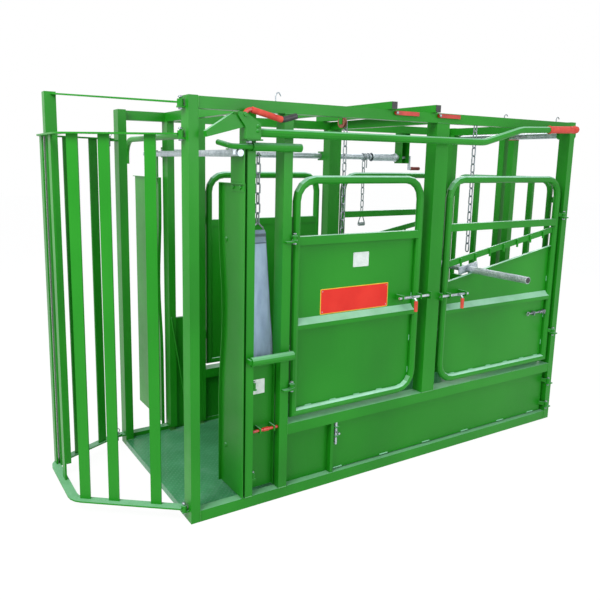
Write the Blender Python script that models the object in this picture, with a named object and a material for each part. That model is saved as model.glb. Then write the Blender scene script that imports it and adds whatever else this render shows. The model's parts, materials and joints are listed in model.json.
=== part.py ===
# Cattle crush: a welded steel cage with a head gate, side doors, rear leaves, a rump bar and lifting gear.
# Units are metres: +X runs to the rear, +Y to the far side, +Z up.
# The origin lies under the middle of the cage. Sizes are written as stations from the front face,
# as distances across from the near side, and as heights.

import bpy
import bmesh
from math import acos, atan2, ceil, cos, pi, sin, tan
from mathutils import Matrix, Vector

# Cage
LENGTH = 2.83
WIDTH = 1.114
HEIGHT = 2.10
GAP = 0.0003
WALL = 0.004
RAIL_DEPTH = 0.050
SILL_HEIGHT = 0.060
TOP_RAIL_HEIGHT = 0.055
BEARER_HEIGHT = 0.029
BEARER_WIDTH = 0.050
FLOOR_THICKNESS = 0.006
WAIST_BOTTOM = 0.360
WAIST_TOP = 0.420
RAIL_BOTTOM = HEIGHT - TOP_RAIL_HEIGHT
FLOOR_TOP = BEARER_HEIGHT + FLOOR_THICKNESS

# Posts: first station, width along the cage, depth across it
FRONT_POST = (0.000, 0.050, 0.085)
GATE_POST = (0.306, 0.045, 0.085)
HINGE_POST = (0.513, 0.052, 0.080)
CENTRE_POST = (1.545, 0.100, 0.080)
REAR_POST_WIDTH = 0.050
REAR_POST = (LENGTH - REAR_POST_WIDTH, REAR_POST_WIDTH, 0.080)

# Panels
SHEET = 0.004
PANEL_DEPTH = 0.040
SHOULDER_DEPTH = 0.060
SHOULDER_TOP = 0.775
SPLIT_STATION = 0.863
SPLIT_BAR = 0.028

# Side doors
DOOR_TUBE = 0.0225
DOOR_DEPTH = 0.030
DOOR_TOP = HEIGHT - 0.355
DOOR_CORNER = 0.110
DOOR_BOTTOM = 0.443
DOOR_HINGE_GAP = 0.025
DOOR_LATCH_GAP = 0.050
FRONT_MID_RAIL = DOOR_TOP - 0.3375
REAR_MID_RAIL = DOOR_TOP - 0.3125
MID_RAIL_HEIGHT = 0.045
FRONT_LEDGE = 0.930
REAR_LEDGE = 0.894
LEDGE_HEIGHT = 0.060
DOOR_SIDES = 10

# Rear door rack
RACK_SLOPE = 0.1755
RACK_STATION = 1.72
FRONT_LATCH_HEIGHT = 1.040
REAR_LATCH_HEIGHT = 1.020
PANEL_EDGE_FRONT = REAR_LATCH_HEIGHT + 0.075
RACK_GAP = 0.090
RACK_HEIGHT = 0.040
RACK_THICKNESS = 0.010
PEG_COUNT = 7
PEG_RADIUS = 0.007
PEG_FIRST = 0.125
PEG_DROP = 0.016

# Hinges and bolts
PIN_RADIUS = 0.006
EYE_RADIUS = 0.012
EYE_HEIGHT = 0.030
LUG_HEIGHT = 0.008
HINGE_DEPTH = -0.014
BOLT_RADIUS = 0.008
BOLT_TRAVEL = 0.030
BOLT_CLEAR = 0.002
KEEPER_THICKNESS = 0.006
BOLT_DEPTH = -0.013
PLAY = 0.0005

# Head gate
GUIDE_RADIUS = 0.017
GUIDE_STATION = 0.262
GUIDE_HEIGHT = HEIGHT - 0.250
GUIDE_START = -0.012
GUIDE_END = WIDTH + 0.186
GUIDE_BRACKET = 0.016
JAW_HOOK = 0.005
JAW_STATION = GUIDE_STATION + GUIDE_RADIUS + 0.0015 + JAW_HOOK
JAW_LIP = 0.016
JAW_TOP = HEIGHT - 0.395
JAW_RECESS = 0.040
NECK_LOW = 0.550
NECK_HIGH = JAW_TOP - 0.205
NEAR_JAW_BOTTOM = 0.064
FAR_JAW_BOTTOM = SILL_HEIGHT + 0.006
NEAR_JAW_START = -0.010
NEAR_JAW_WIDTH = 0.250
FAR_JAW_START = WIDTH - 0.016
FAR_JAW_WIDTH = 0.486
NEAR_HANGER_START = NEAR_JAW_START + 0.002
NEAR_HANGER_WIDTH = 0.135
FAR_HANGER_START = FAR_JAW_START + 0.041
FAR_HANGER_WIDTH = 0.110
PUSH_ROD_RADIUS = 0.018
PUSH_ROD_HEIGHT = HEIGHT - 0.155
PUSH_ROD_START = WIDTH - 0.494
PUSH_ROD_END = WIDTH + 0.446
PUSH_ROD_DROP = 0.160
PUSH_ROD_BEND = 0.110
PUSH_ROD_OFFSET = 0.040

# Head lever
LEVER_RADIUS = 0.021
LEVER_ACROSS = -0.047
LEVER_HEIGHT = HEIGHT - 0.155
LEVER_PIVOT = 0.286
LEVER_PIN = 0.009
LEVER_PLAY = 0.0007
LEVER_STRAIGHT_END = 1.890
LEVER_RISE_END = 2.220
LEVER_RISE = 0.085
LEVER_END = 2.480
GRIP_LENGTH = 0.290
GRIP_RADIUS = 0.0235
SLEEVE_HEIGHT = LEVER_HEIGHT - 0.065
SLEEVE_RADIUS = 0.021
SLEEVE_ACROSS = -0.0235
SLEEVE_START = 0.318
SLEEVE_END = 0.595
CRANK_RADIUS = 0.013

# Nose guard
HOOP_WIDTH = 0.050
HOOP_THICKNESS = 0.008
HOOP_LOW = 0.075
HOOP_HIGH = HEIGHT - 0.170
NOSE_LENGTH = 0.480
NOSE_NEAR = 0.400
NOSE_FAR = WIDTH - 0.254
NOSE_CORNER = 0.090
GUARD_HINGE_STATION = -0.020
GUARD_HINGE_ACROSS = 0.045
GUARD_BAR_WIDTH = 0.055
GUARD_BAR_THICKNESS = 0.010
TALL_POST = 0.060
TALL_POST_TOP = HEIGHT + 0.055
TALL_POST_STATION = -0.428
TALL_POST_ACROSS = NOSE_FAR - 0.025
TIE_HEIGHT = HEIGHT - 0.030
GUARD_INSET = 0.012
TIE_WIDTH = 0.030

# Rear gate
LEAF_TUBE = 0.0200
LEAF_STATION = LENGTH - 0.026
LEAF_BOTTOM = 0.120
LEAF_TOP = HEIGHT - 0.360
LEAF_MID = 0.900
LEAF_MEETING = WIDTH / 2 - 0.045
LEAF_MEETING_GAP = 0.036
LEAF_CORNER = 0.080
STILE_WIDTH = 0.050
STOP_BAR_RADIUS = 0.021
STOP_BAR_HEIGHT = HEIGHT - 0.078
STILE_TOP_FAR = STOP_BAR_HEIGHT + 0.014
STILE_TOP_NEAR = STOP_BAR_HEIGHT - 0.026
STOP_BAR_CLEAR = 0.008
STOP_BAR_NEAR = 0.060
STOP_BAR_FAR = WIDTH + 0.076

# Rump bar
RUMP_STATION = 1.950
RUMP_RADIUS = 0.021
RUMP_NEAR = -0.385
RUMP_FAR = WIDTH + 0.136

# Roof beams, pulley and winch
BEAM = 0.040
BEAM_OVERHANG = 0.030
STUD_OFFSET = 0.014
FRONT_BEAM_STATION = 1.190
REAR_BEAM_STATION = 1.515
PULLEY_RADIUS = 0.034
PULLEY_WIDTH = 0.018
PULLEY_ACROSS = WIDTH / 2 - 0.127
PULLEY_HEIGHT = HEIGHT - 0.048
WINCH_RADIUS = 0.021
WINCH_HEIGHT = HEIGHT - 0.239
WINCH_DEPTH = -0.046
WINCH_START = 0.320
DRUM_RADIUS = 0.029
DRUM_START = 2.030
DRUM_END = 2.275
WINCH_BRACKET_START = 2.300
WINCH_BRACKET_END = 2.380
WINCH_CLIPS = (CENTRE_POST[0] + 0.005, CENTRE_POST[0] + 0.083)
WINCH_CLIP = 0.012

# Chains and strap
CHAIN_WIRE = 0.0040
CHAIN_PITCH = 0.048
CHAIN_RADIUS = 0.0115
CHAIN_PIN = 0.0045
CHAIN_CLEAR = 0.162
STRAP_ACROSS = 0.102
STRAP_STATION = 0.423
STRAP_PIN_HEIGHT = HEIGHT - 0.258
STRAP_RING_DROP = 0.0433
STRAP_LENGTH = 0.894
STRAP_THICKNESS = 0.006
ROLLER_RADIUS = 0.024
ROLLER_HEIGHT = 0.812

NEAR = -1
FAR = 1


def at(station, across, height):
    """A point from its station, its distance across and its height."""
    return Vector((station - LENGTH / 2, across - WIDTH / 2, height))


def across(side, depth):
    """The distance across of a depth that is measured inward from one side's outer face."""
    return depth if side == NEAR else WIDTH - depth


def side_name(side):
    return "near" if side == NEAR else "far"


# Materials

def paint(name, colour, roughness, metallic):
    material = bpy.data.materials.new(name)
    material.use_nodes = True
    shader = material.node_tree.nodes["Principled BSDF"]
    shader.inputs["Base Color"].default_value = (*colour, 1.0)
    shader.inputs["Roughness"].default_value = roughness
    shader.inputs["Metallic"].default_value = metallic
    return material


# Shapes

def shape(points, faces):
    """A closed mesh object from points and faces, with its faces turned outward."""
    mesh = bpy.data.meshes.new("shape")
    body = bmesh.new()
    corners = [body.verts.new(point) for point in points]
    for face in faces:
        body.faces.new([corners[index] for index in face])
    bmesh.ops.recalc_face_normals(body, faces=body.faces)
    body.to_mesh(mesh)
    body.free()
    result = bpy.data.objects.new("shape", mesh)
    bpy.context.scene.collection.objects.link(result)
    return result


def loft(rings, closed=False):
    """A skin over rings of points: capped at both ends, or joined into a loop."""
    count = len(rings[0])
    points = [point for ring in rings for point in ring]
    faces = []
    spans = len(rings) if closed else len(rings) - 1
    for row in range(spans):
        below = row * count
        above = (row + 1) % len(rings) * count
        for column in range(count):
            beside = (column + 1) % count
            faces.append((below + column, below + beside, above + beside, above + column))
    if not closed:
        faces.append(tuple(range(count)))
        faces.append(tuple(range(len(points) - count, len(points))))
    return shape(points, faces)


def box(stations, acrosses, heights):
    """A rectangular block between two stations, two distances across and two heights."""
    rings = []
    for station in stations:
        ring = [at(station, acrosses[0], heights[0]), at(station, acrosses[1], heights[0]),
                at(station, acrosses[1], heights[1]), at(station, acrosses[0], heights[1])]
        rings.append(ring)
    return loft(rings)


def side_box(side, stations, depths, heights):
    return box(stations, [across(side, depth) for depth in depths], heights)


def hollow(stations, acrosses, heights, axis, wall=WALL):
    """A rectangular hollow section, open at both ends of its axis: 0 station, 1 across, 2 height."""
    ranges = [list(stations), list(acrosses), list(heights)]
    others = [index for index in range(3) if index != axis]
    rings = []
    for inset, end in ((0, 0), (0, 1), (wall, 1), (wall, 0)):
        ring = []
        for first, second in ((0, 0), (1, 0), (1, 1), (0, 1)):
            place = [0.0, 0.0, 0.0]
            place[axis] = ranges[axis][end]
            place[others[0]] = ranges[others[0]][first] + (inset if first == 0 else -inset)
            place[others[1]] = ranges[others[1]][second] + (inset if second == 0 else -inset)
            ring.append(at(*place))
        rings.append(ring)
    return loft(rings, closed=True)


def prism(outline, plane, start, end):
    """An outline drawn in the plane sz, az or sa, extruded along the third direction."""
    def place(point, level):
        if plane == "sz":
            return at(point[0], level, point[1])
        if plane == "az":
            return at(level, point[0], point[1])
        return at(point[0], point[1], level)
    return loft([[place(point, level) for point in outline] for level in (start, end)])


def circle(radius, sides):
    """A round section whose flats, not its corners, face the four main directions."""
    step = 2 * pi / sides
    return [(radius * cos((k + 0.5) * step), radius * sin((k + 0.5) * step)) for k in range(sides)]


def rectangle(width, height):
    return [(-width / 2, -height / 2), (width / 2, -height / 2), (width / 2, height / 2), (-width / 2, height / 2)]


def sweep(path, section, normal, closed=False):
    """A section carried along a flat path, mitred at each corner. Its second axis is the normal."""
    normal = Vector(normal).normalized()
    count = len(path)
    rings = []
    for index, point in enumerate(path):
        before = path[index - 1] if index > 0 or closed else None
        after = path[(index + 1) % count] if index < count - 1 or closed else None
        arriving = (point - before).normalized() if before is not None else None
        leaving = (after - point).normalized() if after is not None else None
        arriving = arriving or leaving
        leaving = leaving or arriving
        tangent = (arriving + leaving).normalized()
        stretch = 1.0 / max(tangent.dot(arriving), 0.3)
        sideways = tangent.cross(normal).normalized()
        rings.append([point + sideways * (u * stretch) + normal * v for u, v in section])
    return loft(rings, closed)


def any_normal(start, end):
    direction = (end - start).normalized()
    helper = Vector((0, 0, 1)) if abs(direction.z) < 0.9 else Vector((0, 1, 0))
    return direction.cross(helper).normalized()


def rod(start, end, radius, sides=12):
    return sweep([start, end], circle(radius, sides), any_normal(start, end))


def strap_between(start, end, width, height):
    """A straight flat bar between two points, with its height upright."""
    direction = (end - start).normalized()
    sideways = direction.cross(Vector((0, 0, 1))).normalized()
    upright = sideways.cross(direction).normalized()
    return sweep([start, end], rectangle(width, height), upright)


def rounded(points, radii, steps, closed=False):
    """A path through the points with each corner turned to an arc of its own radius."""
    result = []
    count = len(points)
    for index, point in enumerate(points):
        inner = closed or 0 < index < count - 1
        radius = radii[index] if inner else 0
        if not inner or radius == 0:
            result.append(point.copy())
            continue
        back = (points[index - 1] - point).normalized()
        forth = (points[(index + 1) % count] - point).normalized()
        opening = acos(max(-1.0, min(1.0, back.dot(forth))))
        centre = point + (back + forth).normalized() * (radius / sin(opening / 2))
        reach = radius / tan(opening / 2)
        first = point + back * reach - centre
        last = point + forth * reach - centre
        turn = pi - opening
        for step in range(steps + 1):
            share = step / steps
            arm = first * sin((1 - share) * turn) / sin(turn) + last * sin(share * turn) / sin(turn)
            result.append(centre + arm)
    return result


# Joining

def combine(target, tool, operation):
    """Adds a tool to the target or cuts it away, then removes the tool."""
    modifier = target.modifiers.new(operation.lower(), "BOOLEAN")
    modifier.operation = operation
    modifier.solver = "EXACT"
    modifier.object = tool
    graph = bpy.context.evaluated_depsgraph_get()
    mesh = bpy.data.meshes.new_from_object(target.evaluated_get(graph))
    target.modifiers.clear()
    target.data = mesh
    bpy.data.objects.remove(tool)


def fused(shapes, cuts=()):
    target = shapes[0]
    for tool in shapes[1:]:
        combine(target, tool, "UNION")
    for tool in cuts:
        combine(target, tool, "DIFFERENCE")
    return target


def piece(name, material, shapes, cuts=(), pivot=None, smooth=False):
    """One named piece: its shapes fused, its holes cut and its origin on its pivot."""
    result = fused(list(shapes), cuts)
    result.name = name
    result.data.name = name
    result.data.materials.clear()
    result.data.materials.append(material)
    if smooth:
        result.data.shade_smooth()
        result.data.set_sharp_from_angle(angle=0.7)
    if pivot is not None:
        result.data.transform(Matrix.Translation(-pivot))
        result.location = pivot
    return result


# Hinges: a lug with an upright pin on the post, and an eye with a strap on the leaf

def hinge_lug(side, station, depth, base, toward):
    """A pin on a lug that reaches back to a post at the station named by toward."""
    pin_foot = at(station, across(side, depth), base + LUG_HEIGHT / 2)
    pin_head = at(station, across(side, depth), base + LUG_HEIGHT + EYE_HEIGHT + 0.006)
    stations = sorted((toward, station + (EYE_RADIUS if toward < station else -EYE_RADIUS)))
    lug = side_box(side, stations, sorted((depth - EYE_RADIUS, 0.002)),
                   (base, base + LUG_HEIGHT))
    return [lug, rod(pin_foot, pin_head, PIN_RADIUS)]


def hinge_eye(side, station, depth, base, reach_station, reach_depth):
    """The eye and strap of a leaf, and the hole for the pin."""
    low = base + LUG_HEIGHT + GAP
    high = low + EYE_HEIGHT
    middle = (low + high) / 2
    centre = across(side, depth)
    eye = rod(at(station, centre, low), at(station, centre, high), EYE_RADIUS)
    strap = strap_between(at(station, centre, middle), at(reach_station, across(side, reach_depth), middle),
                          0.008, EYE_HEIGHT - 0.006)
    bore = rod(at(station, centre, low - 0.01), at(station, centre, high + 0.01), PIN_RADIUS + GAP)
    return [eye, strap], [bore]


# Floor, sills, bearers and rails

def floor_outline():
    """The plate's edge, notched round every post that stands on the floor."""
    notches = [FRONT_POST, GATE_POST, HINGE_POST, REAR_POST]
    near_edge = []
    far_edge = []
    for first, width, depth in notches:
        steps = ((first - GAP, RAIL_DEPTH), (first - GAP, depth), (first + width + GAP, depth),
                 (first + width + GAP, RAIL_DEPTH))
        for station, edge in steps:
            station = min(max(station, 0.0), LENGTH)
            near_edge.append((station, edge + GAP))
            far_edge.append((station, WIDTH - edge - GAP))
    return near_edge[1:-1] + far_edge[1:-1][::-1]


def build_base(floor_paint):
    posts_inside = (FRONT_POST[2] + GAP, WIDTH - FRONT_POST[2] - GAP)
    rear_inside = (REAR_POST[2] + GAP, WIDTH - REAR_POST[2] - GAP)
    rails_inside = (RAIL_DEPTH + GAP, WIDTH - RAIL_DEPTH - GAP)
    bearer = (0.0, BEARER_HEIGHT + 0.001)
    middle = (LENGTH / 2 - BEARER_WIDTH / 2, LENGTH / 2 + BEARER_WIDTH / 2)
    plate = prism(floor_outline(), "sa", BEARER_HEIGHT, FLOOR_TOP)
    bearers = [box((0.0, BEARER_WIDTH), posts_inside, bearer), box(middle, rails_inside, bearer),
               box((LENGTH - BEARER_WIDTH, LENGTH), rear_inside, bearer)]
    piece("floor", floor_paint, [plate] + bearers)


def run_between_end_posts():
    return (FRONT_POST[1] + GAP, REAR_POST[0] - GAP)


def beam_stud(station):
    """The stud that a roof beam's handle turns on."""
    place = station + BEAM / 2 + STUD_OFFSET
    return rod(at(place, -0.018, HEIGHT - 0.016), at(place, 0.002, HEIGHT - 0.016), 0.005)


def chain_lug(station, start, end, height):
    """A flat lug across the cage with a pin along it, from which a chain hangs."""
    return rod(at(station, start, height), at(station, end, height), CHAIN_PIN, 8)


def winch_bracket():
    """The bracket hung outside the far top rail that carries the winch tube's shaft."""
    centre = across(FAR, WINCH_DEPTH)
    outer = centre + 0.034
    heights = (WINCH_HEIGHT - 0.045, RAIL_BOTTOM + 0.030)
    cheeks = [box((first, first + 0.006), (WIDTH - 0.002, outer), heights)
              for first in (WINCH_BRACKET_START, WINCH_BRACKET_END - 0.006)]
    web = box((WINCH_BRACKET_START, WINCH_BRACKET_END), (outer - 0.005, outer), heights)
    hole = rod(at(WINCH_BRACKET_START - 0.01, centre, WINCH_HEIGHT),
               at(WINCH_BRACKET_END + 0.01, centre, WINCH_HEIGHT), 0.010 + GAP)
    return cheeks + [web], hole


def build_rails(green):
    for side in (NEAR, FAR):
        depths = [across(side, depth) for depth in (0.0, RAIL_DEPTH)]
        waist = [across(side, depth) for depth in (0.0, HINGE_POST[2])]
        acrosses = sorted(depths)
        name = side_name(side)
        piece(name + "_sill", green, [hollow(run_between_end_posts(), acrosses, (0.0, SILL_HEIGHT), 0)])
        top_shapes = [hollow(run_between_end_posts(), acrosses, (RAIL_BOTTOM, HEIGHT), 0)]
        if side == NEAR:
            top_shapes.append(beam_stud(FRONT_BEAM_STATION))
            top_shapes.append(beam_stud(REAR_BEAM_STATION))
            top_shapes.append(chain_lug(RUMP_STATION + 0.020, RAIL_DEPTH - 0.002, RAIL_DEPTH + 0.062,
                                        RAIL_BOTTOM + 0.012))
        top_cuts = []
        if side == FAR:
            bracket, hole = winch_bracket()
            top_shapes += bracket
            top_cuts.append(hole)
        piece(name + "_top_rail", green, top_shapes, top_cuts)
        waist_run = (HINGE_POST[0] + HINGE_POST[1] + GAP, REAR_POST[0] - GAP)
        cuts = []
        if side == NEAR:
            cuts.append(rod(at(SHOOT_STATION, SHOOT_ACROSS, WAIST_BOTTOM - 0.01),
                            at(SHOOT_STATION, SHOOT_ACROSS, WAIST_BOTTOM + 0.02), BOLT_RADIUS + PLAY))
        piece(name + "_waist_rail", green,
              [hollow(waist_run, sorted(waist), (WAIST_BOTTOM, WAIST_TOP), 0)], cuts)
    inside = (RAIL_DEPTH + GAP, WIDTH - RAIL_DEPTH - GAP)
    rear_inside = (REAR_POST[2] + GAP, WIDTH - REAR_POST[2] - GAP)
    heights = (RAIL_BOTTOM, HEIGHT)
    middle = CENTRE_POST[0] + CENTRE_POST[1] / 2
    piece("head_cross_rail", green, [hollow((GATE_POST[0], GATE_POST[0] + GATE_POST[1]), inside, heights, 1)])
    piece("middle_cross_rail", green, [hollow((middle - 0.025, middle + 0.025), inside, heights, 1)])
    piece("rear_cross_rail", green, [hollow((REAR_POST[0], LENGTH), rear_inside, heights, 1)])


# Posts

ROLLER_ACROSS = -0.030
ROLLER_START = GATE_POST[0] + 0.014
ROLLER_END = HINGE_POST[0] + HINGE_POST[1] + 0.004
SHOOT_STATION = SPLIT_STATION + SPLIT_BAR + 0.012
SHOOT_ACROSS = 0.014
FRONT_HINGE_STATION = HINGE_POST[0] + HINGE_POST[1] + DOOR_HINGE_GAP / 2
REAR_HINGE_STATION = REAR_POST[0] - 0.0075
FRONT_DOOR = (HINGE_POST[0] + HINGE_POST[1] + DOOR_HINGE_GAP, CENTRE_POST[0] - DOOR_LATCH_GAP)
REAR_DOOR = (CENTRE_POST[0] + CENTRE_POST[1] + 0.045, REAR_POST[0] - 0.015)
FRONT_HINGES = (0.615, DOOR_TOP - 0.340)
REAR_HINGES = (0.640, DOOR_TOP - 0.285)
LOWER_HINGES = (0.095, 0.270)


def post_shape(side, post, low, high):
    first, width, depth = post
    acrosses = sorted(across(side, value) for value in (0.0, depth))
    return hollow((first, first + width), acrosses, (low, high), 2)


def keeper(side, edge, toward, height):
    """A holed plate on the post's outer face that takes a sliding bolt."""
    stations = sorted((edge, edge + toward * KEEPER_THICKNESS))
    plate = side_box(side, stations, (BOLT_DEPTH - 0.016, 0.002), (height - 0.022, height + 0.022))
    centre = across(side, BOLT_DEPTH)
    hole = rod(at(stations[0] - 0.01, centre, height), at(stations[1] + 0.01, centre, height),
               BOLT_RADIUS + PLAY)
    return plate, hole


def winch_clips(stations):
    """Holed plates on the outer face of a far post that carry the winch tube."""
    centre = across(FAR, WINCH_DEPTH)
    plates = [box((station, station + WINCH_CLIP), (WIDTH - 0.002, centre + 0.030),
                  (WINCH_HEIGHT - 0.032, WINCH_HEIGHT + 0.032)) for station in stations]
    hole = rod(at(stations[0] - 0.01, centre, WINCH_HEIGHT),
               at(stations[-1] + WINCH_CLIP + 0.01, centre, WINCH_HEIGHT), WINCH_RADIUS + PLAY, 16)
    return plates, hole


def guard_hinge_lug(height):
    """The lug and pin on the near front post that carry the nose guard."""
    foot = at(GUARD_HINGE_STATION, GUARD_HINGE_ACROSS, height - 0.004)
    head = at(GUARD_HINGE_STATION, GUARD_HINGE_ACROSS, height + EYE_HEIGHT + 0.008)
    lug = box((GUARD_HINGE_STATION - 0.014, 0.002),
              (GUARD_HINGE_ACROSS - 0.014, GUARD_HINGE_ACROSS + 0.014), (height - LUG_HEIGHT, height))
    return [lug, rod(foot, head, PIN_RADIUS)]


def guard_eye_base(height):
    """The height of the lug under a guard eye that is centred on the given height."""
    return height - EYE_HEIGHT / 2 - GAP


def roller_axle():
    """The gate post's arm and the axle that carries the strap roller."""
    arm = box((ROLLER_START - 0.010, ROLLER_START - GAP), (ROLLER_ACROSS - 0.012, 0.002),
              (ROLLER_HEIGHT - 0.012, ROLLER_HEIGHT + 0.012))
    axle = rod(at(ROLLER_START - 0.008, ROLLER_ACROSS, ROLLER_HEIGHT),
               at(ROLLER_END + 0.011, ROLLER_ACROSS, ROLLER_HEIGHT), 0.0085)
    return [arm, axle]


def roller_rest():
    """The hinge post's holed arm, which takes the axle's rear end."""
    heights = (ROLLER_HEIGHT - 0.014, ROLLER_HEIGHT + 0.014)
    plate = box((ROLLER_END + GAP, ROLLER_END + 0.008), (ROLLER_ACROSS - 0.014, 0.030), heights)
    foot = box((HINGE_POST[0] + HINGE_POST[1] - 0.002, ROLLER_END + 0.008), (0.004, 0.030), heights)
    hole = rod(at(ROLLER_END - 0.01, ROLLER_ACROSS, ROLLER_HEIGHT),
               at(ROLLER_END + 0.02, ROLLER_ACROSS, ROLLER_HEIGHT), 0.0085 + GAP)
    return [plate, foot], hole


def build_posts(green):
    standing = (SILL_HEIGHT + GAP, RAIL_BOTTOM - GAP)
    for side in (NEAR, FAR):
        name = side_name(side)
        front = [post_shape(side, FRONT_POST, 0.0, HEIGHT)]
        if side == NEAR:
            for height in (HOOP_LOW, HOOP_HIGH, TIE_HEIGHT):
                front += guard_hinge_lug(guard_eye_base(height))
        else:
            for height in (HOOP_LOW, HOOP_HIGH):
                low = height - HOOP_THICKNESS / 2 - GAP - LUG_HEIGHT
                front.append(box((-0.055, 0.002), (WIDTH - 0.075, WIDTH - 0.020), (low, low + LUG_HEIGHT)))
        piece(name + "_front_post", green, front)

        gate = [post_shape(side, GATE_POST, *standing)]
        if side == NEAR:
            plate_top = LEVER_HEIGHT - 0.031
            gate.append(box((LEVER_PIVOT - 0.022, GATE_POST[0] + GATE_POST[1]),
                            (LEVER_ACROSS - 0.022, 0.002), (plate_top - 0.007, plate_top)))
            gate.append(rod(at(LEVER_PIVOT, LEVER_ACROSS, plate_top - 0.004),
                            at(LEVER_PIVOT, LEVER_ACROSS, LEVER_HEIGHT + 0.050), LEVER_PIN))
            lug_end = GATE_POST[0] + GATE_POST[1]
            gate.append(box((lug_end - 0.010, lug_end), (GATE_POST[2] - 0.002, STRAP_ACROSS + 0.010),
                            (STRAP_PIN_HEIGHT - 0.010, STRAP_PIN_HEIGHT + 0.010)))
            gate.append(rod(at(lug_end - 0.004, STRAP_ACROSS, STRAP_PIN_HEIGHT),
                            at(STRAP_STATION + 0.014, STRAP_ACROSS, STRAP_PIN_HEIGHT), CHAIN_PIN, 8))
            gate += roller_axle()
            gate += shoulder_hinge_lugs()
        cuts = []
        if side == FAR:
            plates, hole = winch_clips((WINCH_START + 0.006,))
            gate += plates
            cuts.append(hole)
        piece(name + "_gate_post", green, gate, cuts)

        hinge = [post_shape(side, HINGE_POST, *standing)]
        for base in FRONT_HINGES:
            hinge += hinge_lug(side, FRONT_HINGE_STATION, HINGE_DEPTH, base, HINGE_POST[0] + 0.010)
        cuts = []
        if side == NEAR:
            cuts.append(rod(at(HINGE_POST[0] - 0.01, SHOULDER_BOLT_ACROSS, SHOULDER_BOLT_HEIGHT),
                            at(HINGE_POST[0] + 0.02, SHOULDER_BOLT_ACROSS, SHOULDER_BOLT_HEIGHT),
                            BOLT_RADIUS + PLAY))
            rest, hole = roller_rest()
            hinge += rest
            cuts.append(hole)
        else:
            plates, hole = winch_clips((HINGE_POST[0] + 0.021,))
            hinge += plates
            cuts.append(hole)
        piece(name + "_hinge_post", green, hinge, cuts)

        centre = [post_shape(side, CENTRE_POST, WAIST_TOP + GAP, RAIL_BOTTOM - GAP)]
        cuts = []
        for edge, toward, height in ((CENTRE_POST[0], 1, FRONT_LATCH_HEIGHT),
                                     (CENTRE_POST[0] + CENTRE_POST[1], -1, REAR_LATCH_HEIGHT)):
            plate, hole = keeper(side, edge, toward, height)
            centre.append(plate)
            cuts.append(hole)
        if side == FAR:
            plates, hole = winch_clips(WINCH_CLIPS)
            centre += plates
            cuts.append(hole)
        piece(name + "_centre_post", green, centre, cuts)

        rear = [post_shape(side, REAR_POST, 0.0, HEIGHT)]
        for base in REAR_HINGES:
            rear += hinge_lug(side, REAR_HINGE_STATION, HINGE_DEPTH, base, REAR_POST[0] + 0.030)
        if side == NEAR:
            for base in LOWER_HINGES:
                rear += hinge_lug(side, REAR_HINGE_STATION, HINGE_DEPTH, base, REAR_POST[0] + 0.030)
        rear += leaf_hinge_lugs(side)
        rear += stop_bar_bracket(side)
        bracket_hole = rod(at(STOP_BAR_STATION, -0.2, STOP_BAR_HEIGHT),
                           at(STOP_BAR_STATION, WIDTH + 0.2, STOP_BAR_HEIGHT), STOP_BAR_RADIUS + PLAY, 16)
        piece(name + "_rear_post", green, rear, [bracket_hole])


# Side panels

SHOULDER_BOLT_HEIGHT = 0.412
SHOULDER_BOLT_ACROSS = 0.018
SHOULDER_HINGE_STATION = GATE_POST[0] + GATE_POST[1] + 0.013
SHOULDER_HINGE_DEPTH = 0.020
SHOULDER_HINGES = (0.140, 0.640)


def build_panels(green):
    bay = (GATE_POST[0] + GATE_POST[1] + GAP, HINGE_POST[0] - GAP)
    piece("far_shoulder_panel", green,
          [side_box(FAR, bay, (SHOULDER_DEPTH, SHOULDER_DEPTH + SHEET), (SILL_HEIGHT + GAP, 0.800)),
           side_box(FAR, bay, (SHOULDER_DEPTH - 0.020, SHOULDER_DEPTH + SHEET), (0.794, 0.800))])
    kick = (HINGE_POST[0] + HINGE_POST[1] + GAP, SPLIT_STATION + 0.020)
    heights = (SILL_HEIGHT + GAP, WAIST_BOTTOM - GAP)
    piece("near_kick_panel", green,
          [side_box(NEAR, kick, (PANEL_DEPTH, PANEL_DEPTH + SHEET), heights),
           side_box(NEAR, (SPLIT_STATION, SPLIT_STATION + 0.020), (0.006, PANEL_DEPTH + SHEET), heights)])
    full = (HINGE_POST[0] + HINGE_POST[1] + GAP, REAR_POST[0] - GAP)
    piece("far_kick_panel", green,
          [side_box(FAR, full, (PANEL_DEPTH, PANEL_DEPTH + SHEET), heights),
           side_box(FAR, full, (PANEL_DEPTH - 0.024, PANEL_DEPTH + SHEET), (0.190, 0.194))])


def shoulder_hinge_lugs():
    """Lugs with pins behind the near gate post, which carry the shoulder door."""
    shapes = []
    for base in SHOULDER_HINGES:
        shapes.append(box((GATE_POST[0] + GATE_POST[1] - 0.002, SHOULDER_HINGE_STATION + 0.0115),
                          (SHOULDER_HINGE_DEPTH - 0.0115, SHOULDER_HINGE_DEPTH + 0.0115), (base, base + LUG_HEIGHT)))
        shapes.append(rod(at(SHOULDER_HINGE_STATION, SHOULDER_HINGE_DEPTH, base + LUG_HEIGHT / 2),
                          at(SHOULDER_HINGE_STATION, SHOULDER_HINGE_DEPTH, base + LUG_HEIGHT + EYE_HEIGHT + 0.006),
                          PIN_RADIUS))
    return shapes


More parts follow.
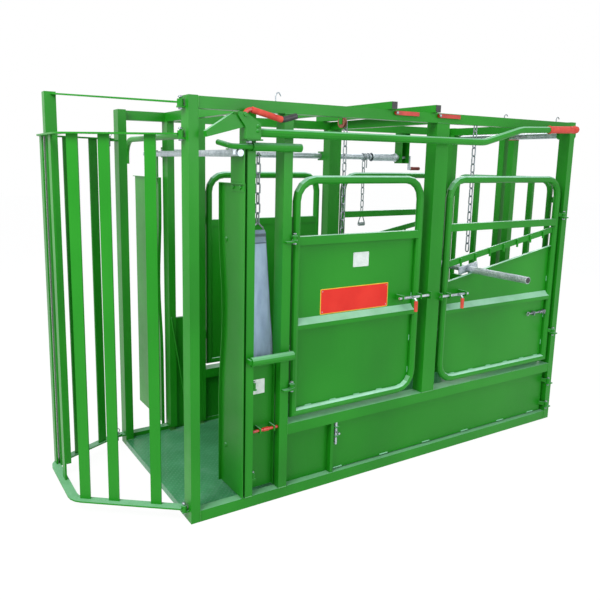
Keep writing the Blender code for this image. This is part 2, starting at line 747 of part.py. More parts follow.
def build_shoulder_door(green):
    """The small door between gate post and hinge post, with its bolt guides."""
    hinge_station = SHOULDER_HINGE_STATION
    hinge_depth = SHOULDER_HINGE_DEPTH
    first = hinge_station + 0.004
    last = HINGE_POST[0] - 0.009
    low = SILL_HEIGHT + 0.010
    front = SHOULDER_DEPTH
    leaf = side_box(NEAR, (first, last), (front, front + SHEET), (low, SHOULDER_TOP))
    turned = [side_box(NEAR, (first, first + SHEET), (front - 0.018, front + SHEET), (low, SHOULDER_TOP)),
              side_box(NEAR, (last - SHEET, last), (front - 0.018, front + SHEET), (low, SHOULDER_TOP)),
              side_box(NEAR, (first, last), (front - 0.018, front + SHEET), (SHOULDER_TOP - SHEET, SHOULDER_TOP))]
    guides = []
    holes = []
    for station in (first + 0.028, last - 0.022):
        guides.append(side_box(NEAR, (station, station + 0.008), (SHOULDER_BOLT_ACROSS - 0.014, front + 0.002),
                               (SHOULDER_BOLT_HEIGHT - 0.014, SHOULDER_BOLT_HEIGHT + 0.014)))
    holes.append(rod(at(first, SHOULDER_BOLT_ACROSS, SHOULDER_BOLT_HEIGHT),
                     at(last + 0.02, SHOULDER_BOLT_ACROSS, SHOULDER_BOLT_HEIGHT), BOLT_RADIUS + PLAY))
    eyes = []
    for base in SHOULDER_HINGES:
        low_end = base + LUG_HEIGHT + GAP
        eyes.append(rod(at(hinge_station, hinge_depth, low_end), at(hinge_station, hinge_depth, low_end + EYE_HEIGHT),
                        0.0115))
        eyes.append(box((hinge_station - 0.003, first + SHEET), (hinge_depth, front),
                        (low_end + 0.003, low_end + EYE_HEIGHT - 0.003)))
        holes.append(rod(at(hinge_station, hinge_depth, low_end - 0.01),
                         at(hinge_station, hinge_depth, low_end + EYE_HEIGHT + 0.01), PIN_RADIUS + GAP))
    pivot = at(hinge_station, hinge_depth, 0.0)
    return piece("near_shoulder_door", green, [leaf] + turned + guides + eyes, holes, pivot)


# Side doors

def door_loop(span, low, high, square_corner):
    """The bent tube round a side door. One lower corner is square, as on the real doors."""
    left = span[0] + DOOR_TUBE
    right = span[1] - DOOR_TUBE
    bottom = low + DOOR_TUBE
    top = high - DOOR_TUBE
    corners = [(left, bottom), (right, bottom), (right, top), (left, top)]
    radii = [DOOR_CORNER] * 4
    radii[square_corner] = 0
    return corners, radii


def door_frame(side, span, low, high, square_corner):
    corners, radii = door_loop(span, low, high, square_corner)
    level = across(side, DOOR_DEPTH)
    path = rounded([at(station, level, height) for station, height in corners], radii, 4, closed=True)
    return sweep(path, circle(DOOR_TUBE, DOOR_SIDES), (0, 1, 0), closed=True)


def door_ledge(side, span, height):
    """A folded stiffener with a sloping top, across the panel's outer face."""
    outline = [(across(side, PANEL_DEPTH + 0.002), height), (across(side, 0.012), height),
               (across(side, 0.012), height + 0.025), (across(side, PANEL_DEPTH + 0.002), height + LEDGE_HEIGHT)]
    return prism(outline, "az", span[0] + DOOR_TUBE, span[1] - DOOR_TUBE)


def bolt_guides(side, stations, height, inner_depths):
    """Two holed plates that carry a sliding bolt."""
    plates = []
    for station, inner_depth in zip(stations, inner_depths):
        plates.append(side_box(side, (station, station + 0.006), (BOLT_DEPTH - 0.014, inner_depth),
                               (height - 0.016, height + 0.016)))
    centre = across(side, BOLT_DEPTH)
    hole = rod(at(min(stations) - 0.02, centre, height), at(max(stations) + 0.03, centre, height),
               BOLT_RADIUS + PLAY)
    return plates, hole


def panel_shape(side, outline):
    levels = sorted(across(side, depth) for depth in (PANEL_DEPTH, PANEL_DEPTH + SHEET))
    return prism(outline, "sz", *levels)


def build_front_doors(green):
    span = FRONT_DOOR
    for side in (NEAR, FAR):
        low = DOOR_BOTTOM
        mid = FRONT_MID_RAIL
        left = span[0] + DOOR_TUBE
        right = span[1] - DOOR_TUBE
        shapes = [door_frame(side, span, low, DOOR_TOP, 0)]
        shapes.append(panel_shape(side, [(left, low + DOOR_TUBE), (right - 0.06, low + DOOR_TUBE),
                                         (right, low + DOOR_TUBE + 0.06), (right, mid), (left, mid)]))
        shapes.append(side_box(side, (left, right), (0.011, 0.049),
                               (mid - MID_RAIL_HEIGHT / 2, mid + MID_RAIL_HEIGHT / 2)))
        shapes.append(door_ledge(side, span, FRONT_LEDGE))
        guides, hole = bolt_guides(side, FRONT_LATCH_GUIDES, FRONT_LATCH_HEIGHT,
                                   (PANEL_DEPTH + 0.002, DOOR_DEPTH))
        shapes += guides
        cuts = [hole]
        for base in FRONT_HINGES:
            eyes, bores = hinge_eye(side, FRONT_HINGE_STATION, HINGE_DEPTH, base, left, DOOR_DEPTH)
            shapes += eyes
            cuts += bores
        pivot = at(FRONT_HINGE_STATION, across(side, HINGE_DEPTH), 0.0)
        piece(side_name(side) + "_front_door", green, shapes, cuts, pivot, smooth=True)


def rack_height(station):
    """The height of the panel's sloping top edge at a station of the rear door."""
    return PANEL_EDGE_FRONT + (station - RACK_STATION) * RACK_SLOPE


def build_rear_doors(green):
    span = REAR_DOOR
    low = DOOR_BOTTOM
    left = span[0] + DOOR_TUBE
    right = span[1] - DOOR_TUBE
    for side in (NEAR, FAR):
        shapes = [door_frame(side, span, low, DOOR_TOP, 1)]
        shapes.append(panel_shape(side, [(left, low + DOOR_TUBE + 0.06), (left + 0.06, low + DOOR_TUBE),
                                         (right, low + DOOR_TUBE), (right, rack_height(right)),
                                         (left, rack_height(left))]))
        lip = sorted(across(side, depth) for depth in (0.022, PANEL_DEPTH + SHEET))
        shapes.append(prism([(left, rack_height(left) - SHEET), (right, rack_height(right) - SHEET),
                             (right, rack_height(right)), (left, rack_height(left))], "sz", *lip))
        shapes.append(side_box(side, (left, right), (0.011, 0.049),
                               (REAR_MID_RAIL - MID_RAIL_HEIGHT / 2, REAR_MID_RAIL + MID_RAIL_HEIGHT / 2)))
        shapes.append(door_ledge(side, span, REAR_LEDGE))
        rail = sorted(across(side, depth) for depth in (DOOR_DEPTH - RACK_THICKNESS / 2,
                                                        DOOR_DEPTH + RACK_THICKNESS / 2))
        below = RACK_GAP
        above = RACK_GAP + RACK_HEIGHT
        shapes.append(prism([(left, rack_height(left) + below), (right, rack_height(right) + below),
                             (right, rack_height(right) + above), (left, rack_height(left) + above)],
                            "sz", *rail))
        peg_step = (right - left - 2 * PEG_FIRST) / (PEG_COUNT - 1)
        for index in range(PEG_COUNT):
            station = left + PEG_FIRST + index * peg_step
            level = across(side, DOOR_DEPTH - RACK_THICKNESS / 2 - PEG_RADIUS + 0.003)
            foot = rack_height(station) + below - PEG_DROP
            shapes.append(rod(at(station, level, foot), at(station, level, foot + 0.048), PEG_RADIUS, 8))
        guides, hole = bolt_guides(side, REAR_LATCH_GUIDES, REAR_LATCH_HEIGHT,
                                   (DOOR_DEPTH, PANEL_DEPTH + 0.002))
        shapes += guides
        cuts = [hole]
        for base in REAR_HINGES:
            eyes, bores = hinge_eye(side, REAR_HINGE_STATION, HINGE_DEPTH, base, right, DOOR_DEPTH)
            shapes += eyes
            cuts += bores
        pivot = at(REAR_HINGE_STATION, across(side, HINGE_DEPTH), 0.0)
        piece(side_name(side) + "_rear_door", green, shapes, cuts, pivot, smooth=True)


def build_lower_door(green):
    """The long low door under the near side doors, hung on the rear post."""
    first = SPLIT_STATION + SPLIT_BAR
    last = REAR_POST[0] - 0.020
    low = SILL_HEIGHT + 0.006
    high = WAIST_BOTTOM - 0.006
    front = 0.028
    shapes = [side_box(NEAR, (first, last), (front, front + SHEET), (low, high))]
    for stations in ((first, first + SHEET), (last - SHEET, last)):
        shapes.append(side_box(NEAR, stations, (front, front + 0.022), (low, high)))
    for heights in ((low, low + SHEET), (high - SHEET, high)):
        shapes.append(side_box(NEAR, (first, last), (front, front + 0.022), heights))
    centre = SHOOT_ACROSS
    for height in SHOOT_GUIDES:
        shapes.append(side_box(NEAR, (SHOOT_STATION - 0.014, SHOOT_STATION + 0.014), (0.000, front + 0.002),
                               (height, height + 0.006)))
    cuts = [rod(at(SHOOT_STATION, centre, SHOOT_GUIDES[0] - 0.01), at(SHOOT_STATION, centre, SHOOT_GUIDES[1] + 0.02),
                BOLT_RADIUS + PLAY)]
    for base in LOWER_HINGES:
        eyes, bores = hinge_eye(NEAR, REAR_HINGE_STATION, HINGE_DEPTH, base, last - 0.010, front + 0.002)
        shapes += eyes
        cuts += bores
    pivot = at(REAR_HINGE_STATION, HINGE_DEPTH, 0.0)
    piece("near_lower_door", green, shapes, cuts, pivot)


# Bolts

FRONT_LATCH_GUIDES = (CENTRE_POST[0] - 0.215, CENTRE_POST[0] - 0.075)
REAR_LATCH_GUIDES = (CENTRE_POST[0] + CENTRE_POST[1] + 0.067, CENTRE_POST[0] + CENTRE_POST[1] + 0.205)
SHOOT_GUIDES = (0.270, 0.325)


def latch_bolt(name, steel, side, tip, tail, knob, height):
    """A sliding bolt with an upright turned handle, drawn back clear of its keeper."""
    centre = across(side, BOLT_DEPTH)
    outward = across(side, BOLT_DEPTH - 0.045)
    bar = rod(at(tip, centre, height), at(tail, centre, height), BOLT_RADIUS)
    arm = rounded([at(knob, centre, height), at(knob, outward, height), at(knob, outward, height - 0.075)],
                  [0, 0.018, 0], 3)
    handle = sweep(arm, circle(0.007, 8), (1, 0, 0))
    return piece(name, steel, [bar, handle], pivot=at(tip, centre, height), smooth=True)


def build_bolts(galvanised, red):
    first = CENTRE_POST[0]
    last = CENTRE_POST[0] + CENTRE_POST[1]
    for side in (NEAR, FAR):
        latch_bolt(side_name(side) + "_front_latch", galvanised, side, first - BOLT_CLEAR, first - 0.235,
                   first - 0.145, FRONT_LATCH_HEIGHT)
        latch_bolt(side_name(side) + "_rear_latch", galvanised, side, last + BOLT_CLEAR, last + 0.235,
                   last + 0.140, REAR_LATCH_HEIGHT)
    shoot_top = WAIST_BOTTOM - BOLT_CLEAR
    stem = rod(at(SHOOT_STATION, SHOOT_ACROSS, 0.225), at(SHOOT_STATION, SHOOT_ACROSS, shoot_top), BOLT_RADIUS)
    knob = rod(at(SHOOT_STATION, SHOOT_ACROSS, 0.299), at(SHOOT_STATION, -0.022, 0.299), 0.006, 8)
    piece("shoot_bolt", galvanised, [stem, knob], pivot=at(SHOOT_STATION, SHOOT_ACROSS, shoot_top), smooth=True)
    tip = HINGE_POST[0] - BOLT_CLEAR
    first = SHOULDER_HINGE_STATION - 0.004
    bar = rod(at(first, SHOULDER_BOLT_ACROSS, SHOULDER_BOLT_HEIGHT),
              at(tip, SHOULDER_BOLT_ACROSS, SHOULDER_BOLT_HEIGHT), BOLT_RADIUS)
    collar = rod(at(first + 0.062, SHOULDER_BOLT_ACROSS, SHOULDER_BOLT_HEIGHT),
                 at(first + 0.095, SHOULDER_BOLT_ACROSS, SHOULDER_BOLT_HEIGHT), 0.011)
    piece("shoulder_bolt", red, [bar, collar], pivot=at(tip, SHOULDER_BOLT_ACROSS, SHOULDER_BOLT_HEIGHT),
          smooth=True)


# Head gate

def neck_edge(height):
    """How far a jaw's inner edge is set back at a height, which leaves room for the neck."""
    if not NECK_LOW < height < NECK_HIGH:
        return 0.0
    return JAW_RECESS * sin(pi * (height - NECK_LOW) / (NECK_HIGH - NECK_LOW)) ** 2


def jaw_shapes(start, width, bottom, inward):
    """A jaw plate with a hollowed inner edge, and the lips turned forward along that edge and the top."""
    steps = 8
    heights = [bottom] + [NECK_LOW + (NECK_HIGH - NECK_LOW) * k / steps for k in range(steps + 1)] + [JAW_TOP]
    inner = start + width if inward > 0 else start
    outer = start if inward > 0 else start + width
    edge = [(inner - inward * neck_edge(height), height) for height in heights]
    plate = prism([(outer, bottom)] + edge + [(outer, JAW_TOP)], "az", JAW_STATION, JAW_STATION + SHEET)
    back_edge = [(place - inward * SHEET, height) for place, height in edge]
    lip = prism(edge + back_edge[::-1], "az", JAW_STATION - JAW_LIP, JAW_STATION + SHEET / 2)
    top = box((JAW_STATION - JAW_LIP, JAW_STATION + SHEET / 2), (start, start + width), (JAW_TOP - SHEET, JAW_TOP))
    return [plate, lip, top]


def hook_top():
    """The height of the hooks' undersides, just over the guide tube."""
    return GUIDE_HEIGHT + GUIDE_RADIUS + GAP


def hanger_shapes(start, width):
    """The plate behind the guide tube that carries a jaw, with its hook over the tube."""
    back = JAW_STATION + SHEET / 2
    web = box((JAW_STATION - JAW_HOOK, back), (start, start + width), (JAW_TOP - 0.040, hook_top() + JAW_HOOK))
    hook = box((GUIDE_STATION - 0.010, back), (start, start + width), (hook_top(), hook_top() + JAW_HOOK))
    return [web, hook]


def build_head_gate(green, galvanised):
    near = jaw_shapes(NEAR_JAW_START, NEAR_JAW_WIDTH, NEAR_JAW_BOTTOM, 1)
    near += hanger_shapes(NEAR_HANGER_START, NEAR_HANGER_WIDTH)
    piece("near_jaw", green, near, pivot=at(JAW_STATION, NEAR_JAW_START, JAW_TOP))
    far = jaw_shapes(FAR_JAW_START, FAR_JAW_WIDTH, FAR_JAW_BOTTOM, -1)
    far += hanger_shapes(FAR_HANGER_START, FAR_HANGER_WIDTH)
    rod_station = GUIDE_STATION - PUSH_ROD_OFFSET
    bend = rounded([at(rod_station, PUSH_ROD_START, PUSH_ROD_HEIGHT), at(rod_station, PUSH_ROD_END, PUSH_ROD_HEIGHT),
                    at(rod_station, PUSH_ROD_END, PUSH_ROD_HEIGHT - PUSH_ROD_DROP)], [0, PUSH_ROD_BEND, 0], 5)
    middle = FAR_HANGER_START + FAR_HANGER_WIDTH / 2
    riser = box((rod_station - 0.006, JAW_STATION), (middle - 0.006, middle + 0.006),
                (hook_top() + 0.001, PUSH_ROD_HEIGHT))
    far += [riser, sweep(bend, circle(PUSH_ROD_RADIUS, 10), (1, 0, 0))]
    piece("far_jaw", green, far, pivot=at(JAW_STATION, FAR_JAW_START, JAW_TOP), smooth=True)
    tube = rod(at(GUIDE_STATION, GUIDE_START, GUIDE_HEIGHT), at(GUIDE_STATION, GUIDE_END, GUIDE_HEIGHT),
               GUIDE_RADIUS, 14)
    front = GUIDE_STATION - GUIDE_RADIUS
    over = hook_top() + JAW_HOOK + 0.010
    seat = GATE_POST[0] - GAP
    level = (GUIDE_HEIGHT - GUIDE_BRACKET / 2, GUIDE_HEIGHT + GUIDE_BRACKET / 2)
    brackets = [box((front - 0.018, front + 0.004), (0.0, 0.045), (level[0], over + 0.006)),
                box((front - 0.018, seat), (0.0, 0.045), (over, over + 0.006)),
                box((JAW_STATION + SHEET + 0.005, seat), (WIDTH - 0.060, GUIDE_END), level),
                box((GUIDE_STATION, seat), (GUIDE_END - 0.014, GUIDE_END), level)]
    piece("head_guide_tube", galvanised, [tube] + brackets, smooth=True)


# Head lever and its gear

def build_lever(green, red):
    level = LEVER_ACROSS
    base = LEVER_HEIGHT - 0.031 + GAP
    top = LEVER_HEIGHT + 0.040
    block_start = LEVER_PIVOT - 0.030
    block_end = LEVER_PIVOT + 0.050
    block = box((block_start, block_end), (level - 0.028, level + 0.028), (base, top))
    rise_top = LEVER_HEIGHT + LEVER_RISE
    path = rounded([at(block_end - 0.010, level, LEVER_HEIGHT), at(LEVER_STRAIGHT_END, level, LEVER_HEIGHT),
                    at(LEVER_RISE_END, level, rise_top), at(LEVER_END, level, rise_top + 0.010)],
                   [0, 0.25, 0.25, 0], 4)
    tube = sweep(path, circle(LEVER_RADIUS, 10), (0, 1, 0))
    ears = []
    ear_top = RELEASE_HEIGHT + 0.014
    for offset in (-0.028, 0.022):
        outline = [(block_start, top - 0.020), (block_end, top - 0.020), (block_end, top),
                   (block_start - 0.004, ear_top), (block_start - 0.040, ear_top),
                   (block_start - 0.040, ear_top - 0.018)]
        ears.append(prism(outline, "sz", level + offset, level + offset + 0.006))
    arm = prism([(ARM_STATION, LEVER_HEIGHT - 0.001), (ARM_STATION + 0.005, LEVER_HEIGHT - 0.028),
                 (block_start + 0.006, LEVER_HEIGHT + 0.025), (block_start + 0.006, LEVER_HEIGHT + 0.039),
                 (block_start - 0.028, LEVER_HEIGHT + 0.050), (block_start - 0.034, LEVER_HEIGHT + 0.076),
                 (block_start - 0.075, LEVER_HEIGHT + 0.076)], "sz", level - 0.016, level + 0.016)
    link = rod(at(RELEASE_STATION, level - 0.027, RELEASE_HEIGHT),
               at(RELEASE_STATION, level + 0.027, RELEASE_HEIGHT), RELEASE_PIN, 8)
    bore = rod(at(LEVER_PIVOT, level, base - 0.01), at(LEVER_PIVOT, level, top + 0.01), LEVER_PIN + LEVER_PLAY)
    pivot = at(LEVER_PIVOT, level, LEVER_HEIGHT)
    piece("head_lever", green, [block, tube, arm] + ears + [link], [bore], pivot, smooth=True)
    lever_end = at(LEVER_END, level, rise_top + 0.010)
    along = (lever_end - at(LEVER_RISE_END, level, rise_top)).normalized()
    grip = rod(lever_end + along * GAP, lever_end + along * GRIP_LENGTH, GRIP_RADIUS, 14)
    piece("head_lever_grip", red, [grip], pivot=pivot, smooth=True)


ARM_STATION = 0.058
RELEASE_STATION = LEVER_PIVOT - 0.034
RELEASE_HEIGHT = LEVER_HEIGHT + 0.077
RELEASE_PIN = 0.005


def build_release(red):
    """The short handle between the ears at the lever's front end."""
    level = LEVER_ACROSS
    pivot = at(RELEASE_STATION, level, RELEASE_HEIGHT)
    knuckle = rod(at(RELEASE_STATION, level - 0.018, RELEASE_HEIGHT),
                  at(RELEASE_STATION, level + 0.018, RELEASE_HEIGHT), 0.0125)
    bore = rod(at(RELEASE_STATION, level - 0.03, RELEASE_HEIGHT),
               at(RELEASE_STATION, level + 0.03, RELEASE_HEIGHT), RELEASE_PIN + LEVER_PLAY, 8)
    path = rounded([at(RELEASE_STATION + 0.004, level, RELEASE_HEIGHT + 0.004),
                    at(RELEASE_STATION + 0.033, level, RELEASE_HEIGHT + 0.030),
                    at(RELEASE_STATION + 0.218, level, RELEASE_HEIGHT - 0.012),
                    at(RELEASE_STATION + 0.293, level, RELEASE_HEIGHT + 0.008)], [0, 0.03, 0.05, 0], 3)
    handle = sweep(path, circle(0.011, 8), (0, 1, 0))
    piece("release_handle", red, [knuckle, handle], [bore], pivot, smooth=True)


def build_crank(green):
    """The fixed bearing sleeve outside two posts and the cranked rod that turns in it."""
    level = SLEEVE_ACROSS
    sleeve = rod(at(SLEEVE_START, level, SLEEVE_HEIGHT), at(SLEEVE_END, level, SLEEVE_HEIGHT), SLEEVE_RADIUS, 14)
    saddles = []
    for first, width, _ in (GATE_POST, HINGE_POST):
        start = max(first, SLEEVE_START) + 0.004
        saddles.append(box((start, first + width - 0.006), (level, -GAP),
                           (SLEEVE_HEIGHT - 0.012, SLEEVE_HEIGHT + 0.012)))
    bore = rod(at(SLEEVE_START - 0.02, level, SLEEVE_HEIGHT), at(SLEEVE_END + 0.02, level, SLEEVE_HEIGHT),
               CRANK_RADIUS + 0.0008)
    piece("bearing_sleeve", green, [sleeve] + saddles, [bore], smooth=True)
    path = rounded([at(SLEEVE_END - 0.004, level, SLEEVE_HEIGHT), at(0.205, level, SLEEVE_HEIGHT),
                    at(0.175, level + 0.084, SLEEVE_HEIGHT + 0.020)], [0, 0.03, 0], 3)
    piece("crank_rod", green, [sweep(path, circle(CRANK_RADIUS, 12), (0, -0.020, 0.084))],
          pivot=at(SLEEVE_END, level, SLEEVE_HEIGHT), smooth=True)


# Nose guard

def hoop_path():
    """The flat hoop's centre line, from the near hinge round the nose to the far post."""
    return [(GUARD_HINGE_STATION - 0.006, GUARD_HINGE_ACROSS + 0.0105), (-NOSE_LENGTH, NOSE_NEAR),
            (-NOSE_LENGTH, NOSE_FAR), (-0.030, WIDTH - 0.048)]


def hoop_shape(height):
    corners = [at(station, level, height) for station, level in hoop_path()]
    path = rounded(corners, [0, NOSE_CORNER, NOSE_CORNER, 0], 3)
    return sweep(path, rectangle(HOOP_WIDTH, HOOP_THICKNESS), (0, 0, 1))


def guard_bar(first, last, share, low, high):
    """An upright flat bar at a share of the way along one straight of the hoop, on its inner edge."""
    run = Vector((last[0] - first[0], last[1] - first[1]))
    direction = run.normalized()
    inward = Vector((direction.y, -direction.x))
    if inward.x < 0:
        inward = -inward
    centre = Vector(first) + run * share + inward * (HOOP_WIDTH / 2 - GUARD_BAR_THICKNESS / 2 - GUARD_INSET)
    half = direction * (GUARD_BAR_WIDTH / 2)
    thick = inward * (GUARD_BAR_THICKNESS / 2)
    corners = [centre - half - thick, centre + half - thick, centre + half + thick, centre - half + thick]
    return prism([(corner.x, corner.y) for corner in corners], "sa", low, high)


def build_guard(green):
    pivot = at(GUARD_HINGE_STATION, GUARD_HINGE_ACROSS, 0.0)
    path = hoop_path()
    high = HOOP_HIGH - HOOP_THICKNESS / 2 + 0.002
    shapes = [hoop_shape(HOOP_LOW)]
    bars = ((0.24, 0.63, 0.90), (0.52, 0.98), (0.34, 0.70))
    for first, last, shares in zip(path[:-1], path[1:], bars):
        for share in shares:
            shapes.append(guard_bar(first, last, share, HOOP_LOW, high))
    half = TALL_POST / 2
    shapes.append(box((TALL_POST_STATION - half, TALL_POST_STATION + half),
                      (TALL_POST_ACROSS - half, TALL_POST_ACROSS + half), (HOOP_LOW, TALL_POST_TOP)))
    shapes.append(hoop_shape(HOOP_HIGH))
    cuts = []
    for height in (HOOP_LOW, HOOP_HIGH, TIE_HEIGHT):
        base = guard_eye_base(height) + GAP
        shapes.append(rod(at(GUARD_HINGE_STATION, GUARD_HINGE_ACROSS, base),
                          at(GUARD_HINGE_STATION, GUARD_HINGE_ACROSS, base + EYE_HEIGHT), 0.015))
        cuts.append(rod(at(GUARD_HINGE_STATION, GUARD_HINGE_ACROSS, base - 0.01),
                        at(GUARD_HINGE_STATION, GUARD_HINGE_ACROSS, base + EYE_HEIGHT + 0.01), PIN_RADIUS + GAP))
    shapes.append(strap_between(at(GUARD_HINGE_STATION, GUARD_HINGE_ACROSS, TIE_HEIGHT),
                                at(TALL_POST_STATION, TALL_POST_ACROSS, TALL_POST_TOP - 0.008),
                                TIE_WIDTH, HOOP_THICKNESS))
    piece("nose_guard", green, shapes, cuts, pivot)


# Rear gate

STOP_BAR_STATION = LENGTH + STOP_BAR_RADIUS + STOP_BAR_CLEAR
LEAF_HINGE_DEPTH = REAR_POST[2] + 0.016
LEAF_HINGES = (0.180, LEAF_TOP - 0.180)


def leaf_hinge_lugs(side):
    """Lugs with pins on the inner face of a rear post, which carry a gate leaf."""
    shapes = []
    for base in LEAF_HINGES:
        centre = across(side, LEAF_HINGE_DEPTH)
        shapes.append(side_box(side, (LEAF_STATION - EYE_RADIUS, LEAF_STATION + EYE_RADIUS),
                               (REAR_POST[2] - 0.002, LEAF_HINGE_DEPTH + EYE_RADIUS), (base, base + LUG_HEIGHT)))
        shapes.append(rod(at(LEAF_STATION, centre, base + LUG_HEIGHT / 2),
                          at(LEAF_STATION, centre, base + LUG_HEIGHT + EYE_HEIGHT + 0.006), PIN_RADIUS))
    return shapes


def stop_bar_bracket(side):
    """The ring behind a rear post that holds the stop bar."""
    start, end = (0.030, 0.140) if side == NEAR else (WIDTH - 0.078, WIDTH - 0.006)
    ring = rod(at(STOP_BAR_STATION, start, STOP_BAR_HEIGHT), at(STOP_BAR_STATION, end, STOP_BAR_HEIGHT), 0.028, 16)
    plate = side_box(side, (LENGTH - 0.002, STOP_BAR_STATION), (0.032, 0.074),
                     (STOP_BAR_HEIGHT - 0.020, STOP_BAR_HEIGHT + 0.020))
    return [ring, plate]


def build_leaves(green, galvanised):
    for side in (NEAR, FAR):
        meeting = LEAF_MEETING if side == NEAR else WIDTH - LEAF_MEETING
        inner = meeting - LEAF_MEETING_GAP / 2
        outer = LEAF_HINGE_DEPTH + 0.016 + LEAF_TUBE
        low = LEAF_BOTTOM + LEAF_TUBE
        high = LEAF_TOP - LEAF_TUBE
        top = STILE_TOP_NEAR if side == NEAR else STILE_TOP_FAR
        station = LEAF_STATION
        stile = [across(side, depth) for depth in (inner - STILE_WIDTH, inner)]
        path = rounded([at(station, across(side, inner - 0.020), low), at(station, across(side, outer), low),
                        at(station, across(side, outer), high), at(station, across(side, inner - 0.020), high)],
                       [0, 0.020, LEAF_CORNER, 0], 4)
        shapes = [sweep(path, circle(LEAF_TUBE, 8), (1, 0, 0)),
                  box((station - 0.024, station + 0.0255), sorted(stile), (LEAF_BOTTOM, top)),
                  side_box(side, (station - 0.015, station + 0.015), (outer, inner - 0.010),
                           (LEAF_MID - 0.020, LEAF_MID + 0.020)),
                  side_box(side, (station - SHEET / 2, station + SHEET / 2), (outer, inner - 0.010), (low, LEAF_MID))]
        bar = (outer + inner - STILE_WIDTH) / 2
        shapes.append(side_box(side, (station - 0.012, station + 0.012), (bar - 0.020, bar + 0.020), (LEAF_MID, high)))
        cuts = []
        for base in LEAF_HINGES:
            low_end = base + LUG_HEIGHT + GAP
            centre = across(side, LEAF_HINGE_DEPTH)
            shapes.append(rod(at(station, centre, low_end), at(station, centre, low_end + EYE_HEIGHT), EYE_RADIUS))
            shapes.append(side_box(side, (station - 0.005, station + 0.005), (LEAF_HINGE_DEPTH, outer),
                                   (low_end + 0.003, low_end + EYE_HEIGHT - 0.003)))
            cuts.append(rod(at(station, centre, low_end - 0.01), at(station, centre, low_end + EYE_HEIGHT + 0.01),
                            PIN_RADIUS + GAP))
        pivot = at(LEAF_STATION, across(side, LEAF_HINGE_DEPTH), 0.0)
        piece(side_name(side) + "_rear_leaf", green, shapes, cuts, pivot, smooth=True)
    tube = rod(at(STOP_BAR_STATION, STOP_BAR_NEAR, STOP_BAR_HEIGHT), at(STOP_BAR_STATION, STOP_BAR_FAR, STOP_BAR_HEIGHT),
               STOP_BAR_RADIUS, 14)
    bore = rod(at(STOP_BAR_STATION, STOP_BAR_NEAR - 0.01, STOP_BAR_HEIGHT),
               at(STOP_BAR_STATION, STOP_BAR_FAR + 0.01, STOP_BAR_HEIGHT), STOP_BAR_RADIUS - 0.004, 14)
    piece("rear_stop_bar", galvanised, [tube], [bore], at(STOP_BAR_STATION, STOP_BAR_NEAR, STOP_BAR_HEIGHT), smooth=True)


# Rump bar

def build_rump_bar(galvanised):
    """The tube that rests on both rear doors' sloping panel edges, with its guide plates inside them."""
    slope = atan2(RACK_SLOPE, 1.0)
    centre = rack_height(RUMP_STATION) + (RUMP_RADIUS + GAP) / cos(slope)
    tube = rod(at(RUMP_STATION, RUMP_NEAR, centre), at(RUMP_STATION, RUMP_FAR, centre), RUMP_RADIUS, 16)
    plates = []
    for side in (NEAR, FAR):
        levels = sorted(across(side, depth) for depth in (0.058, 0.063))
        half = 0.085
        outline = [(RUMP_STATION + u * half * cos(slope) - v * sin(slope), centre + u * half * sin(slope) + v * cos(slope))
                   for u, v in ((-1, -0.018), (1, -0.018), (1, 0.030), (-1, 0.030))]
        plates.append(prism(outline, "sz", *levels))
    bore_near = rod(at(RUMP_STATION, RUMP_NEAR - 0.01, centre), at(RUMP_STATION, RUMP_NEAR + 0.25, centre),
                    RUMP_RADIUS - 0.004, 12)
    bore_far = rod(at(RUMP_STATION, RUMP_FAR - 0.10, centre), at(RUMP_STATION, RUMP_FAR + 0.01, centre),
                   RUMP_RADIUS - 0.004, 12)
    piece("rump_bar", galvanised, [tube] + plates, [bore_near, bore_far], at(RUMP_STATION, 0.0, centre), smooth=True)


# Roof beams, their handles and the pulley

def build_roof(green, red):
    for name, station in (("front", FRONT_BEAM_STATION), ("rear", REAR_BEAM_STATION)):
        low = HEIGHT + GAP
        shapes = [hollow((station - BEAM / 2, station + BEAM / 2), (-BEAM_OVERHANG, WIDTH + BEAM_OVERHANG),
                         (low, low + BEAM), 1, 0.003)]
        if name == "front":
            gap = PULLEY_WIDTH / 2 + 0.001
            for sign in (-1, 1):
                cheek = sorted((station + sign * gap, station + sign * (gap + 0.005)))
                shapes.append(box(cheek, (PULLEY_ACROSS - 0.015, PULLEY_ACROSS + 0.015),
                                  (PULLEY_HEIGHT - 0.012, low + 0.002)))
            shapes.append(rod(at(station - gap - 0.002, PULLEY_ACROSS, PULLEY_HEIGHT),
                              at(station + gap + 0.026, PULLEY_ACROSS, PULLEY_HEIGHT), 0.005, 10))
        piece(name + "_roof_beam", green, shapes)
        stud = station + BEAM / 2 + STUD_OFFSET
        level = HEIGHT - 0.016
        arm = box((stud, stud + 0.165), (-0.0135, -0.0035), (level - 0.011, level + 0.011))
        eye = rod(at(stud, -0.0135, level), at(stud, -0.0035, level), 0.011)
        bore = rod(at(stud, -0.03, level), at(stud, 0.0, level), 0.005 + GAP)
        piece(name + "_beam_handle", red, [eye, arm], [bore], at(stud, -0.0085, level))


def pulley_profile():
    """Half of the grooved wheel's section, from its bore to its rim."""
    half = PULLEY_WIDTH / 2
    return [(0.005 + GAP, -half), (PULLEY_RADIUS, -half), (PULLEY_RADIUS, -half + 0.003), (PULLEY_RADIUS - 0.008, -0.003),
            (PULLEY_RADIUS - 0.008, 0.003), (PULLEY_RADIUS, half - 0.003), (PULLEY_RADIUS, half), (0.005 + GAP, half)]


def build_pulley(rust):
    sides = 16
    rings = []
    for k in range(sides):
        angle = 2 * pi * k / sides
        rings.append([at(FRONT_BEAM_STATION + width, PULLEY_ACROSS + radius * cos(angle),
                         PULLEY_HEIGHT + radius * sin(angle)) for radius, width in pulley_profile()])
    wheel = loft(rings, closed=True)
    piece("pulley", rust, [wheel], pivot=at(FRONT_BEAM_STATION, PULLEY_ACROSS, PULLEY_HEIGHT), smooth=True)


# Strap roller

